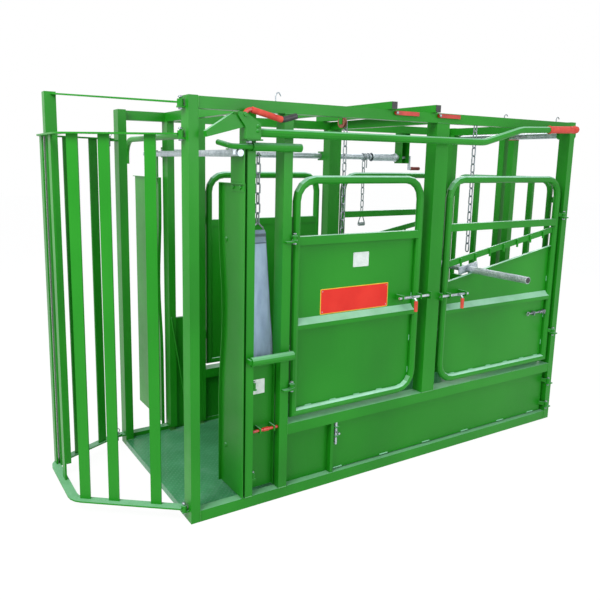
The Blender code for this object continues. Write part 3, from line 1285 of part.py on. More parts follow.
def build_roller(green):
    level = ROLLER_ACROSS
    start = ROLLER_START
    end = ROLLER_END
    tube = rod(at(start, level, ROLLER_HEIGHT), at(end, level, ROLLER_HEIGHT), ROLLER_RADIUS, 14)
    bore = rod(at(start - 0.01, level, ROLLER_HEIGHT), at(end + 0.01, level, ROLLER_HEIGHT), 0.0085 + GAP)
    piece("strap_roller", green, [tube], [bore], at(start, level, ROLLER_HEIGHT), smooth=True)


# Winch

def build_winch(galvanised):
    centre = across(FAR, WINCH_DEPTH)
    start = WINCH_START
    end = WINCH_BRACKET_START - 0.001
    tube = rod(at(start, centre, WINCH_HEIGHT), at(end, centre, WINCH_HEIGHT), WINCH_RADIUS, 16)
    drum = rod(at(DRUM_START, centre, WINCH_HEIGHT), at(DRUM_END, centre, WINCH_HEIGHT), DRUM_RADIUS, 16)
    shaft_end = WINCH_BRACKET_END + 0.050
    shaft = rod(at(end - 0.02, centre, WINCH_HEIGHT), at(shaft_end, centre, WINCH_HEIGHT), 0.010)
    throw = 0.085
    arm = box((shaft_end - 0.008, shaft_end), (centre - 0.012, centre + 0.012),
              (WINCH_HEIGHT - throw - 0.012, WINCH_HEIGHT + 0.014))
    grip = rod(at(shaft_end - 0.004, centre, WINCH_HEIGHT - throw),
               at(shaft_end + 0.110, centre, WINCH_HEIGHT - throw), 0.011)
    piece("winch_tube", galvanised, [tube, drum, shaft, arm, grip], pivot=at(start, centre, WINCH_HEIGHT), smooth=True)


# Chains

def chain_link(top, normal):
    """One link, hung with its upper inner end at the given point, in the plane square to the normal."""
    half_run = (CHAIN_PITCH + 2 * CHAIN_WIRE) / 2 - CHAIN_RADIUS * sin(pi / 3)
    centre = top - Vector((0, 0, CHAIN_PITCH / 2))
    sideways = Vector(normal).cross(Vector((0, 0, 1))).normalized()
    path = []
    for end, first in ((1, 0.0), (-1, pi)):
        for step in range(4):
            angle = first + pi * step / 3
            path.append(centre + Vector((0, 0, end * half_run)) + sideways * (CHAIN_RADIUS * cos(angle))
                        + Vector((0, 0, CHAIN_RADIUS * sin(angle))))
    return sweep(path, circle(CHAIN_WIRE, 5), normal, closed=True)


def chain_shapes(pin, pin_radius, pin_normal, length):
    """Links that hang from a pin, each turned a quarter from the one above it and seated in it."""
    overlap = 0.0020
    top = pin + Vector((0, 0, pin_radius + GAP - CHAIN_WIRE * (1 - cos(pi / 5))))
    normals = [Vector(pin_normal), Vector(pin_normal).cross(Vector((0, 0, 1)))]
    count = max(2, ceil(length / CHAIN_PITCH))
    links = []
    for index in range(count):
        links.append(chain_link(top - Vector((0, 0, index * (CHAIN_PITCH + overlap))), normals[index % 2]))
    end = top - Vector((0, 0, count * (CHAIN_PITCH + overlap)))
    return links, end, normals[count % 2]


def chain_floor(station):
    """The lowest end of a chain over the rump bar, clear of the bar wherever the rails are."""
    return rack_height(station) + CHAIN_CLEAR


def build_chains(galvanised, webbing):
    pin = at(RUMP_STATION + 0.020, RAIL_DEPTH + 0.048, RAIL_BOTTOM + 0.012)
    links, _, _ = chain_shapes(pin, CHAIN_PIN * cos(pi / 8), (0, 1, 0), RAIL_BOTTOM - chain_floor(RUMP_STATION) + 0.012)
    piece("rump_chain", galvanised, links)

    pin = at(FRONT_BEAM_STATION + PULLEY_WIDTH / 2 + 0.018, PULLEY_ACROSS, PULLEY_HEIGHT)
    links, _, _ = chain_shapes(pin, 0.005 * cos(pi / 10), (1, 0, 0), PULLEY_HEIGHT - chain_floor(RUMP_STATION) - 0.014)
    piece("pulley_chain", galvanised, links)

    pin = at(WINCH_CHAIN_STATION, across(FAR, WINCH_DEPTH), WINCH_HEIGHT)
    collar_radius = (WINCH_RADIUS + GAP + CHAIN_WIRE * cos(pi / 6)) / cos(pi / 14)
    ring = [pin + Vector((0, collar_radius * cos(2 * pi * k / 14), collar_radius * sin(2 * pi * k / 14)))
            for k in range(14)]
    collar = sweep(ring, circle(CHAIN_WIRE, 6), (1, 0, 0), closed=True)
    hang = pin - Vector((0, 0, WINCH_RADIUS + 5 * CHAIN_WIRE - 0.0024))
    links, end, _ = chain_shapes(hang, CHAIN_WIRE, (0, 1, 0), hang.z - chain_floor(WINCH_CHAIN_STATION) - 0.183)
    stirrup_width = 0.070
    stirrup_drop = 0.085
    apex = end + Vector((0, 0, CHAIN_WIRE + 0.0016))
    corners = [apex, apex + Vector((-stirrup_width / 2, 0, -stirrup_drop)),
               apex + Vector((stirrup_width / 2, 0, -stirrup_drop))]
    triangle = sweep(rounded(corners, [0.008, 0.008, 0.008], 2, closed=True), circle(0.004, 6), (0, 1, 0), closed=True)
    low = apex.z - stirrup_drop
    barrel = rod(Vector((apex.x - 0.028, apex.y, low)), Vector((apex.x + 0.028, apex.y, low)), 0.016, 10)
    piece("winch_chain", galvanised, [collar] + links + [triangle, barrel], smooth=True)

    pin = at(STRAP_STATION, STRAP_ACROSS, STRAP_PIN_HEIGHT)
    links, end, _ = chain_shapes(pin, CHAIN_PIN * cos(pi / 8), (1, 0, 0), 0.30)
    half = 0.049
    apex = end + Vector((0, 0, CHAIN_WIRE + 0.0016))
    ring_low = apex.z - STRAP_RING_DROP
    corners = [apex, Vector((apex.x + half, apex.y, ring_low)), Vector((apex.x - half, apex.y, ring_low))]
    ring = sweep(rounded(corners, [0.010, 0.010, 0.010], 2, closed=True), circle(0.004, 6), (0, 1, 0), closed=True)
    piece("strap_chain", galvanised, links + [ring], smooth=True)
    build_strap(webbing, apex.x, apex.y, ring_low)


def build_strap(webbing, centre_x, centre_y, bar_height):
    """The broad sling strap: a loop sewn round the ring's lower bar, then a cloth with long soft folds."""
    rows = 14
    columns = 8
    top = bar_height - 0.004 - GAP
    front = []
    back = []
    for row in range(rows + 1):
        share = row / rows
        width = 0.092 + 0.060 * share ** 0.8
        fold = 0.010 * min(1.0, share * 1.6)
        drift = 0.010 * share
        height = top - STRAP_LENGTH * share
        ring_front = []
        ring_back = []
        for column in range(columns + 1):
            across_share = column / columns - 0.5
            wave = fold * cos(across_share * 2.6 * pi + 0.7)
            x = centre_x + across_share * width + 0.045 * share
            y = centre_y + drift + wave
            ring_front.append(Vector((x, y - STRAP_THICKNESS / 2, height)))
            ring_back.append(Vector((x, y + STRAP_THICKNESS / 2, height)))
        front.append(ring_front)
        back.append(ring_back)
    rings = [edge + list(reversed(reverse)) for edge, reverse in zip(front, back)]
    piece("sling_strap", webbing, [loft(rings)], smooth=True)


WINCH_CHAIN_STATION = 1.960


def clear_scene():
    for item in list(bpy.data.objects):
        bpy.data.objects.remove(item)


def main():
    clear_scene()
    green = paint("green_paint", (0.025, 0.235, 0.022), 0.38, 0.0)
    floor_paint = paint("floor_paint", (0.035, 0.260, 0.110), 0.45, 0.0)
    galvanised = paint("galvanised_steel", (0.480, 0.520, 0.550), 0.42, 0.9)
    red = paint("red_grip", (0.600, 0.035, 0.020), 0.45, 0.0)
    rust = paint("primer_red", (0.260, 0.060, 0.035), 0.70, 0.0)
    webbing = paint("webbing", (0.340, 0.380, 0.520), 0.85, 0.0)
    build_base(floor_paint)
    build_rails(green)
    build_posts(green)
    build_panels(green)
    build_shoulder_door(green)
    build_front_doors(green)
    build_rear_doors(green)
    build_lower_door(green)
    build_bolts(galvanised, red)
    build_head_gate(green, galvanised)
    build_lever(green, red)
    build_release(red)
    build_crank(green)
    build_guard(green)
    build_leaves(green, galvanised)
    build_rump_bar(galvanised)
    build_roof(green, red)
    build_pulley(rust)
    build_roller(green)
    build_winch(galvanised)
    build_chains(galvanised, webbing)


main()
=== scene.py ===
# Looks for the cattle crush: paint, zinc, webbing, welds, caps, plates and small hardware on the model.
# Metres, +X to the rear, +Y to the far side, +Z up, as in the model. Stations start at the front face.

import json
from math import acos, cos, pi, radians, sin, tan

import bmesh
import bpy
from mathutils import Matrix, Vector


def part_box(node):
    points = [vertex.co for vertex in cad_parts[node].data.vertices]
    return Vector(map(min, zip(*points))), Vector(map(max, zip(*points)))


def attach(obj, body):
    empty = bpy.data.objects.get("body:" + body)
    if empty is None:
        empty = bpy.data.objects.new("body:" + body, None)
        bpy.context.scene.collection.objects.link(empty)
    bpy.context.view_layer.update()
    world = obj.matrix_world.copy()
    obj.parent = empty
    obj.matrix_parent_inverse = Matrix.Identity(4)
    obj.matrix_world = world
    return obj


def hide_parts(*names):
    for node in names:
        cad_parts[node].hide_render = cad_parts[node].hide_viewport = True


# The model's sizes that the small pieces sit on

NEAR = -1
FAR = 1
SIDES = (("near", NEAR), ("far", FAR))
LENGTH = 2.83
WIDTH = 1.114
HEIGHT = 2.10
RAIL_BOTTOM = HEIGHT - 0.055
SILL_TOP = 0.060
WAIST = (0.360, 0.420)
POSTS = {
    "front_post": (0.000, 0.050, 0.085),
    "gate_post": (0.306, 0.045, 0.085),
    "hinge_post": (0.513, 0.052, 0.080),
    "centre_post": (1.545, 0.100, 0.080),
    "rear_post": (LENGTH - 0.050, 0.050, 0.080),
}
DOOR_TOP = HEIGHT - 0.355
DOOR_BOTTOM = 0.443
DOOR_FACE = 0.0385
HINGE_DEPTH = -0.014
DOOR_HINGES = {
    "front_door": (0.5775, (0.615, DOOR_TOP - 0.340)),
    "rear_door": (2.7725, (0.640, DOOR_TOP - 0.285)),
}
LOWER_HINGES = (0.095, 0.270)
LOWER_DOOR_FACE = 0.0275
SHOULDER_HINGE = (0.364, 0.020)
SHOULDER_HINGES = (0.140, 0.640)
EYE_TOP = 0.0440
BOLT_DEPTH = -0.013
HANDLE_REACH = 0.045
LATCHES = (("front_latch", 1.400, 1.040), ("rear_latch", 1.785, 1.020))
JAW_TOP = HEIGHT - 0.395
JAWS = (("near", 0.180, (-0.008, 0.127)), ("far", 1.341, (1.139, 1.249)))
JAW_BOLT_HEIGHTS = (1.416, 0.292)
JAW_FACE = 0.2856
HANGER_FACE = 0.2806
LEVER_HEIGHT = HEIGHT - 0.155
LEVER_ACROSS = -0.047
LEVER_PIVOT = 0.286
LEVER_RISE = 0.085
LEVER_RISE_END = 2.220
LEVER_END = 2.480
GRIP_LENGTH = 0.290
GEAR_TOP = LEVER_HEIGHT + 0.077
RELEASE_PATH = ((0.256, 0.004), (0.285, 0.030), (0.470, -0.012), (0.545, 0.008))
HOOP_LOW = 0.075
HOOP_HIGH = HEIGHT - 0.170
TIE_HEIGHT = HEIGHT - 0.030
GUARD_HINGE = (-0.020, 0.045)
DROP_PIN = (-0.046, 1.0585)
LEAF_STATION = LENGTH - 0.026
STOP_BAR_HEIGHT = HEIGHT - 0.078
STILES = (("near", NEAR, STOP_BAR_HEIGHT - 0.026, 0.494), ("far", FAR, STOP_BAR_HEIGHT + 0.014, 0.584))
RUMP_STATION = 1.950
RUMP_HEIGHT = 1.095 + 0.230 * 0.1755 + 0.0216
RUMP_ENDS = ((-0.385, -1), (WIDTH + 0.136, 1))
BEAM_STATIONS = (1.190, 1.515)
BEAM_OVERHANG = 0.030
WINCH_HEIGHT = HEIGHT - 0.239
WINCH_DEPTH = -0.046
WINCH_CHAIN_STATION = 1.960
WINCH_HOOK_STATION = 2.000
DRUM_CHEEKS = (2.030, 2.268)
CRANK_GRIP = (2.440, 2.538)
CRANK_DROP = 0.085
CHAIN_WIRE = 0.0040
CHAIN_RADIUS = 0.0115
CHAIN_PITCH = 0.048
CHAIN_STEP = 0.050
STRAP_STATION = 0.423
STRAP_ACROSS = 0.102
STRAP_DROP = 0.893
RAIL_HOOKS = ((0.465, 0.052), (2.124, 0.026), (2.634, 0.036))
RAIL_MIDDLE = 0.012
BRACE_ACROSS = 1.0225

X = Vector((1, 0, 0))
Y = Vector((0, 1, 0))
Z = Vector((0, 0, 1))

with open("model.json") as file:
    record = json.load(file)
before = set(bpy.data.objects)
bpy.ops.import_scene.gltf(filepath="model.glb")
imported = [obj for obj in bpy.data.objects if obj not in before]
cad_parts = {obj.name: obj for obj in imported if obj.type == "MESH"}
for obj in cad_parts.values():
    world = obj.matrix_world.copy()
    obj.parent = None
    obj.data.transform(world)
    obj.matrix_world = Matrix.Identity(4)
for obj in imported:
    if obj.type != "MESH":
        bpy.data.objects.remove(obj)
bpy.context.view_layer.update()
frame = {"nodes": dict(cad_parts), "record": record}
NODES = frame["nodes"]


def at(station, across, height):
    """A point from its station, its distance across and its height."""
    return Vector((station - LENGTH / 2, across - WIDTH / 2, height))


def across(side, depth):
    """The distance across of a depth that is measured inward from one side's outer face."""
    return depth if side == NEAR else WIDTH - depth


# Materials

class Nodes:
    """A short way to build a material's node tree."""

    def __init__(self, name):
        self.material = bpy.data.materials.new(name)
        self.material.use_nodes = True
        self.tree = self.material.node_tree
        self.shader = self.tree.nodes["Principled BSDF"]
        coordinates = self.tree.nodes.new("ShaderNodeTexCoord")
        self.place = coordinates.outputs["Object"]

    def feed(self, socket, value):
        """Link a socket, or write a value that is the same all over on the socket itself."""
        if isinstance(value, bpy.types.NodeSocket):
            self.tree.links.new(value, socket)
        else:
            socket.default_value = value

    def add(self, kind, inputs=None, **settings):
        node = self.tree.nodes.new(kind)
        for key, value in settings.items():
            setattr(node, key, value)
        for key, value in (inputs or {}).items():
            self.feed(node.inputs[key], value)
        return node

    def stretched(self, scale, turn=(0.0, 0.0, 0.0)):
        node = self.add("ShaderNodeMapping", {"Vector": self.place, "Scale": scale, "Rotation": turn})
        return node.outputs["Vector"]

    def noise(self, scale, detail=4.0, roughness=0.55, vector=None):
        inputs = {"Vector": vector or self.place, "Scale": scale, "Detail": detail, "Roughness": roughness}
        return self.add("ShaderNodeTexNoise", inputs).outputs["Fac"]

    def wave(self, scale, distortion, vector=None, direction="X"):
        inputs = {"Vector": vector or self.place, "Scale": scale, "Distortion": distortion}
        return self.add("ShaderNodeTexWave", inputs, bands_direction=direction).outputs["Fac"]

    def ramp(self, factor, *stops):
        node = self.add("ShaderNodeValToRGB", {"Fac": factor})
        elements = node.color_ramp.elements
        while len(elements) < len(stops):
            elements.new(0.5)
        for element, (position, colour) in zip(elements, stops):
            element.position = position
            element.color = (*colour, 1.0)
        return node.outputs["Color"]

    def shade(self, factor, low, high, start=0.0, end=1.0):
        inputs = {"Value": factor, "From Min": start, "From Max": end, "To Min": low, "To Max": high}
        return self.add("ShaderNodeMapRange", inputs).outputs["Result"]

    def mix(self, factor, base, colour):
        inputs = {0: factor, 6: base, 7: (*colour, 1.0)}
        return self.add("ShaderNodeMix", inputs, data_type="RGBA").outputs[2]

    def math(self, operation, first, second):
        return self.add("ShaderNodeMath", {0: first, 1: second}, operation=operation).outputs[0]

    def times(self, first, second):
        return self.math("MULTIPLY", first, second)

    def bump(self, height, strength, distance):
        inputs = {"Height": height, "Strength": strength, "Distance": distance}
        return self.add("ShaderNodeBump", inputs).outputs["Normal"]

    def dust_and_top_highlight(self, base, dust_and_highlight, amount, start):
        """Pale dusting and a painted highlight on the faces that look up: the more a face looks up, the more
        it is mixed toward the pale colour, in patches.
        """
        normal = self.add("ShaderNodeNewGeometry").outputs["Normal"]
        upward = self.add("ShaderNodeSeparateXYZ", {"Vector": normal}).outputs["Z"]
        patches = self.shade(self.noise(9.0, 3.0, 0.6), 0.80, 1.0, 0.35, 0.65)
        cover = self.times(self.shade(upward, 0.0, amount, start, 0.82), patches)
        return self.mix(cover, base, dust_and_highlight)

    def out(self, colour, roughness, normal=None, metallic=0.0, **constants):
        self.feed(self.shader.inputs["Base Color"], colour)
        self.feed(self.shader.inputs["Roughness"], roughness)
        if normal is not None:
            self.feed(self.shader.inputs["Normal"], normal)
        self.shader.inputs["Metallic"].default_value = metallic
        for key, value in constants.items():
            self.shader.inputs[key.replace("_", " ")].default_value = value
        return self.material


def green_enamel(name, main, dark, light, gloss, dust_and_highlight=(0.28, 0.60, 0.38), cover=0.72):
    """Brushed machine enamel: soft colour clouds, streaks, small chips, orange peel, and pale dusting with a
    painted highlight on faces that look up.
    """
    n = Nodes(name)
    clouds = n.noise(1.6, 2.0, 0.45)
    base = n.ramp(clouds, (0.25, dark), (0.50, main), (0.80, light))
    streak = n.noise(7.0, 3.0, 0.6, n.stretched((1.0, 1.0, 0.12)))
    base = n.mix(n.shade(streak, 0.0, 0.16, 0.5, 0.75), base, light)
    specks = n.noise(260.0, 2.0, 0.6)
    chips = n.shade(specks, 0.0, 1.0, 0.735, 0.76)
    base = n.mix(n.times(chips, 0.35), base, (0.30, 0.36, 0.30))
    # Faces that look up are made paler: partly dusting, partly a painted highlight on tube tops and ledges.
    base = n.dust_and_top_highlight(base, dust_and_highlight, cover, 0.32)
    peel = n.noise(420.0, 2.0, 0.5)
    waves = n.noise(24.0, 2.0, 0.5)
    height = n.math("ADD", n.times(peel, 0.35), n.times(waves, 0.65))
    rough = n.shade(n.noise(11.0, 3.0, 0.6), gloss - 0.07, gloss + 0.10)
    return n.out(base, rough, n.bump(height, 0.16, 0.0016), Specular_IOR_Level=0.24, Coat_Weight=0.06,
                 Coat_Roughness=0.18)


def chequer_floor():
    """Green floor plate with the raised tears of tread plate, which are mixed toward a paler green on top.
    """
    n = Nodes("tread_plate_paint")
    base = n.ramp(n.noise(3.0, 4.0, 0.6), (0.30, (0.040, 0.235, 0.095)), (0.55, (0.070, 0.330, 0.150)),
                  (0.75, (0.190, 0.470, 0.300)))
    first, second = (n.wave(14.0, 0.0, n.stretched((1.0, 1.0, 1.0), (0, 0, radians(turn))))
                     for turn in (45, -45))
    raised = n.shade(n.times(first, second), 0.0, 1.0, 0.45, 0.75)
    base = n.mix(n.times(raised, 0.30), base, (0.20, 0.42, 0.28))
    return n.out(base, n.shade(n.noise(30.0), 0.28, 0.50), n.bump(raised, 0.5, 0.003), Coat_Weight=0.1)


def zinc(name, tone=1.0):
    """Galvanised tube: blue-grey spangle and dull patches."""
    n = Nodes(name)
    cells = n.add("ShaderNodeTexVoronoi", {"Vector": n.place, "Scale": 130.0})
    spangle = n.add("ShaderNodeSeparateColor", {"Color": cells.outputs["Color"]}).outputs["Red"]
    patches = n.noise(9.0, 4.0, 0.6)
    low, middle, high = (tuple(tone * value for value in colour)
                         for colour in ((0.30, 0.35, 0.39), (0.47, 0.53, 0.58), (0.66, 0.71, 0.75)))
    base = n.ramp(n.math("ADD", n.times(spangle, 0.35), n.times(patches, 0.65)),
                  (0.25, low), (0.50, middle), (0.75, high))
    return n.out(base, n.shade(spangle, 0.30, 0.48), n.bump(patches, 0.10, 0.001), metallic=0.75)


def red_enamel():
    """Red paint with worn patches."""
    n = Nodes("red_enamel")
    base = n.ramp(n.noise(14.0, 4.0, 0.6), (0.30, (0.36, 0.020, 0.014)), (0.55, (0.56, 0.035, 0.020)),
                  (0.80, (0.66, 0.075, 0.045)))
    wear = n.shade(n.noise(90.0, 3.0, 0.6), 0.0, 1.0, 0.66, 0.72)
    base = n.mix(n.times(wear, 0.5), base, (0.16, 0.07, 0.05))
    return n.out(base, n.shade(wear, 0.34, 0.6), n.bump(n.noise(300.0), 0.12, 0.001), Coat_Weight=0.2)


def grip_rubber(name, dark, light):
    """Moulded hand grip with fine ribs along the lever."""
    n = Nodes(name)
    base = n.ramp(n.noise(20.0, 3.0, 0.6), (0.30, dark), (0.70, light))
    ribs = n.wave(28.0, 0.0)
    height = n.math("ADD", ribs, n.times(n.noise(350.0), 0.3))
    return n.out(base, 0.55, n.bump(height, 0.35, 0.0012), Specular_IOR_Level=0.35)


def worn_primer():
    """Dull red-brown primer on the stiles' tops."""
    n = Nodes("worn_primer")
    base = n.ramp(n.noise(60.0, 5.0, 0.65), (0.30, (0.10, 0.030, 0.020)), (0.50, (0.27, 0.085, 0.055)),
                  (0.75, (0.42, 0.20, 0.15)))
    return n.out(base, 0.72, n.bump(n.noise(180.0, 4.0), 0.3, 0.0015))


def black_plastic():
    n = Nodes("black_plastic")
    base = n.ramp(n.noise(40.0, 3.0), (0.3, (0.012, 0.012, 0.013)), (0.8, (0.040, 0.040, 0.043)))
    return n.out(base, 0.42, n.bump(n.noise(500.0), 0.15, 0.0006))


def sling_webbing(name, tone):
    """Lavender-grey woven webbing: twill lines, soft stains, and a painted highlight on the raised weave."""
    n = Nodes(name)
    weave = n.times(n.wave(90.0, 0.6, direction="Z"), n.wave(120.0, 0.4))
    low, middle, high, thread = (tuple(tone * value for value in colour)
                                 for colour in ((0.250, 0.330, 0.470), (0.350, 0.450, 0.640),
                                                (0.450, 0.560, 0.740), (0.58, 0.65, 0.76)))
    base = n.ramp(n.noise(16.0, 4.0, 0.6, n.stretched((1.0, 1.0, 0.35))),
                  (0.25, low), (0.50, middle), (0.75, high))
    # Where the weave rises it is mixed toward a pale thread colour: a painted highlight on the raised
    # threads.
    base = n.mix(n.times(weave, 0.22), base, thread)
    return n.out(base, 0.86, n.bump(weave, 0.45, 0.0010), Sheen_Weight=0.25, Sheen_Roughness=0.5)


def plain_red_plate():
    """A bare warning-red plate, made without any words."""
    n = Nodes("plain_red_plate")
    base = n.ramp(n.noise(7.0, 3.0), (0.3, (0.70, 0.018, 0.010)), (0.7, (0.78, 0.030, 0.016)))
    return n.out(base, 0.34, n.bump(n.noise(240.0), 0.05, 0.0005), Specular_IOR_Level=0.25, Coat_Weight=0.05)


def plain_yellow_edge():
    n = Nodes("plain_yellow_edge")
    base = n.ramp(n.noise(30.0, 3.0), (0.3, (0.80, 0.47, 0.020)), (0.7, (0.90, 0.60, 0.060)))
    return n.out(base, 0.32, n.bump(n.noise(240.0), 0.05, 0.0005))


def pale_label():
    n = Nodes("pale_label")
    base = n.ramp(n.noise(24.0, 4.0, 0.6), (0.30, (0.58, 0.66, 0.62)), (0.65, (0.78, 0.84, 0.80)),
                  (0.85, (0.86, 0.89, 0.87)))
    return n.out(base, n.shade(n.noise(60.0), 0.30, 0.50), n.bump(n.noise(120.0), 0.08, 0.0004))


def weld_metal(name, colour):
    """Painted weld bead: a little uneven, with dusting and a painted highlight on top."""
    n = Nodes(name)
    base = n.ramp(n.noise(120.0, 3.0), (0.3, tuple(value * 0.8 for value in colour)), (0.7, colour))
    # Pale on the upper faces: dusting and a painted highlight.
    base = n.dust_and_top_highlight(base, (0.30, 0.62, 0.38), 0.70, 0.35)
    return n.out(base, 0.42, n.bump(n.noise(260.0, 3.0), 0.4, 0.0015))


FRESH_GREENS = ((0.010, 0.238, 0.008), (0.008, 0.185, 0.007), (0.020, 0.290, 0.014))
SHEET_GREENS = ((0.008, 0.215, 0.006), (0.006, 0.172, 0.006), (0.014, 0.252, 0.010))
GREEN = green_enamel("green_enamel", *FRESH_GREENS, 0.36)
GREEN_SHEET = green_enamel("green_enamel_sheet", *SHEET_GREENS, 0.40)
# The doors' enamel: the same greens with a much paler top-face colour at near full strength, a painted sky
# reflection on the doors' sloping ledges.
GREEN_DOOR = green_enamel("green_enamel_door", *FRESH_GREENS, 0.36, (0.46, 0.80, 0.62), 0.98)
FLOOR = chequer_floor()
ZINC = zinc("galvanised_tube")
DARK_ZINC = zinc("galvanised_chain", 0.62)
RED = red_enamel()
GRIP = grip_rubber("red_hand_grip", (0.50, 0.035, 0.022), (0.72, 0.085, 0.050))
PRIMER = worn_primer()
BLACK = black_plastic()
WEBBING = sling_webbing("sling_webbing", 1.25)
RED_PLATE = plain_red_plate()
YELLOW = plain_yellow_edge()
LABEL = pale_label()
WELD = weld_metal("painted_weld", (0.016, 0.260, 0.012))
# Door seams: a pale mint colour that is a painted highlight on the weld beads, with dusting on top as well.
SEAM = weld_metal("pale_seam_painted_highlight", (0.20, 0.56, 0.32))
DARK_RED = grip_rubber("dark_red_grip", (0.16, 0.020, 0.018), (0.26, 0.040, 0.032))
HEAD_BAND = sling_webbing("strap_band_webbing", 0.32)
PALE_BAND = sling_webbing("strap_head_webbing", 0.80)
THREAD = weld_metal("pale_thread", (0.55, 0.56, 0.60))

FINISHES = {
    "green_paint": GREEN, "floor_paint": FLOOR, "galvanised": ZINC, "red_paint": RED, "red_grip": GRIP,
    "primer_red": PRIMER, "webbing": WEBBING,
}
SHEETS = ("far_shoulder_panel", "near_kick_panel", "far_kick_panel", "near_lower_door", "near_shoulder_door")
DOORS = ("near_front_door", "near_rear_door", "far_front_door", "far_rear_door")
CHAINS = ("rump_chain", "pulley_chain", "winch_chain", "strap_chain")
EDGE_ROUNDING = 0.0016


def dress_nodes():
    """Gives every model node its finish and slightly rounded edges."""
    slots = {entry["node"]: entry["material_slot"] for entry in frame["record"]["subparts"]}
    for name, node in NODES.items():
        finish = FINISHES[slots[name]]
        if name in SHEETS:
            finish = GREEN_SHEET
        if name in DOORS:
            finish = GREEN_DOOR
        if name in CHAINS:
            finish = DARK_ZINC
        if not node.material_slots:
            node.data.materials.append(finish)
        for place in node.material_slots:
            place.material = finish
        if name not in CHAINS and name != "sling_strap":
            bevel = node.modifiers.new("edge", "BEVEL")
            bevel.width = EDGE_ROUNDING
            bevel.segments = 2
            bevel.limit_method = "ANGLE"
            bevel.angle_limit = radians(40)


# Shapes

def mesh_piece(name, points, faces, material, body, smooth=False):
    """One visible piece from points and faces, on its slot and body."""
    mesh = bpy.data.meshes.new(name)
    body_mesh = bmesh.new()
    corners = [body_mesh.verts.new(point) for point in points]
    for face in faces:
        body_mesh.faces.new([corners[index] for index in face])
    bmesh.ops.recalc_face_normals(body_mesh, faces=body_mesh.faces)
    body_mesh.to_mesh(mesh)
    body_mesh.free()
    if smooth:
        mesh.shade_smooth()
        mesh.set_sharp_from_angle(angle=0.75)
    mesh.materials.append(material)
    piece = bpy.data.objects.new(name, mesh)
    bpy.context.scene.collection.objects.link(piece)
    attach(piece, body)
    return piece


def square_pair(direction):
    """Two directions square to the given one and to each other."""
    helper = Z if abs(direction.z) < 0.9 else Y
    first = direction.cross(helper).normalized()
    return first, direction.cross(first)


def ring_points(centre, first, second, radius, count):
    """Points evenly round a circle in the plane of two directions."""
    angles = [2 * pi * k / count for k in range(count)]
    return [centre + first * (radius * cos(angle)) + second * (radius * sin(angle)) for angle in angles]


def arc_points(centre, first, second, radius, start, turn, steps):
    """Points on an arc in the plane of two directions."""
    angles = [start + turn * step / steps for step in range(steps + 1)]
    return [centre + first * (radius * cos(angle)) + second * (radius * sin(angle)) for angle in angles]


def circle(radius, sides):
    """A round section, as pairs of sideways and normal distances."""
    angles = [2 * pi * (k + 0.5) / sides for k in range(sides)]
    return [(radius * cos(angle), radius * sin(angle)) for angle in angles]


def rounded(points, radii, steps, closed=False):
    """A path through the points with each corner turned to an arc of its own radius."""
    result = []
    count = len(points)
    for index, point in enumerate(points):
        inner = closed or 0 < index < count - 1
        radius = radii[index] if inner else 0
        if radius == 0:
            result.append(point.copy())
            continue
        back = (points[index - 1] - point).normalized()
        forth = (points[(index + 1) % count] - point).normalized()
        opening = acos(max(-1.0, min(1.0, back.dot(forth))))
        centre = point + (back + forth).normalized() * (radius / sin(opening / 2))
        reach = radius / tan(opening / 2)
        first = point + back * reach - centre
        last = point + forth * reach - centre
        turn = pi - opening
        for step in range(steps + 1):
            share = step / steps
            arm = first * sin((1 - share) * turn) / sin(turn) + last * sin(share * turn) / sin(turn)
            result.append(centre + arm)
    return result


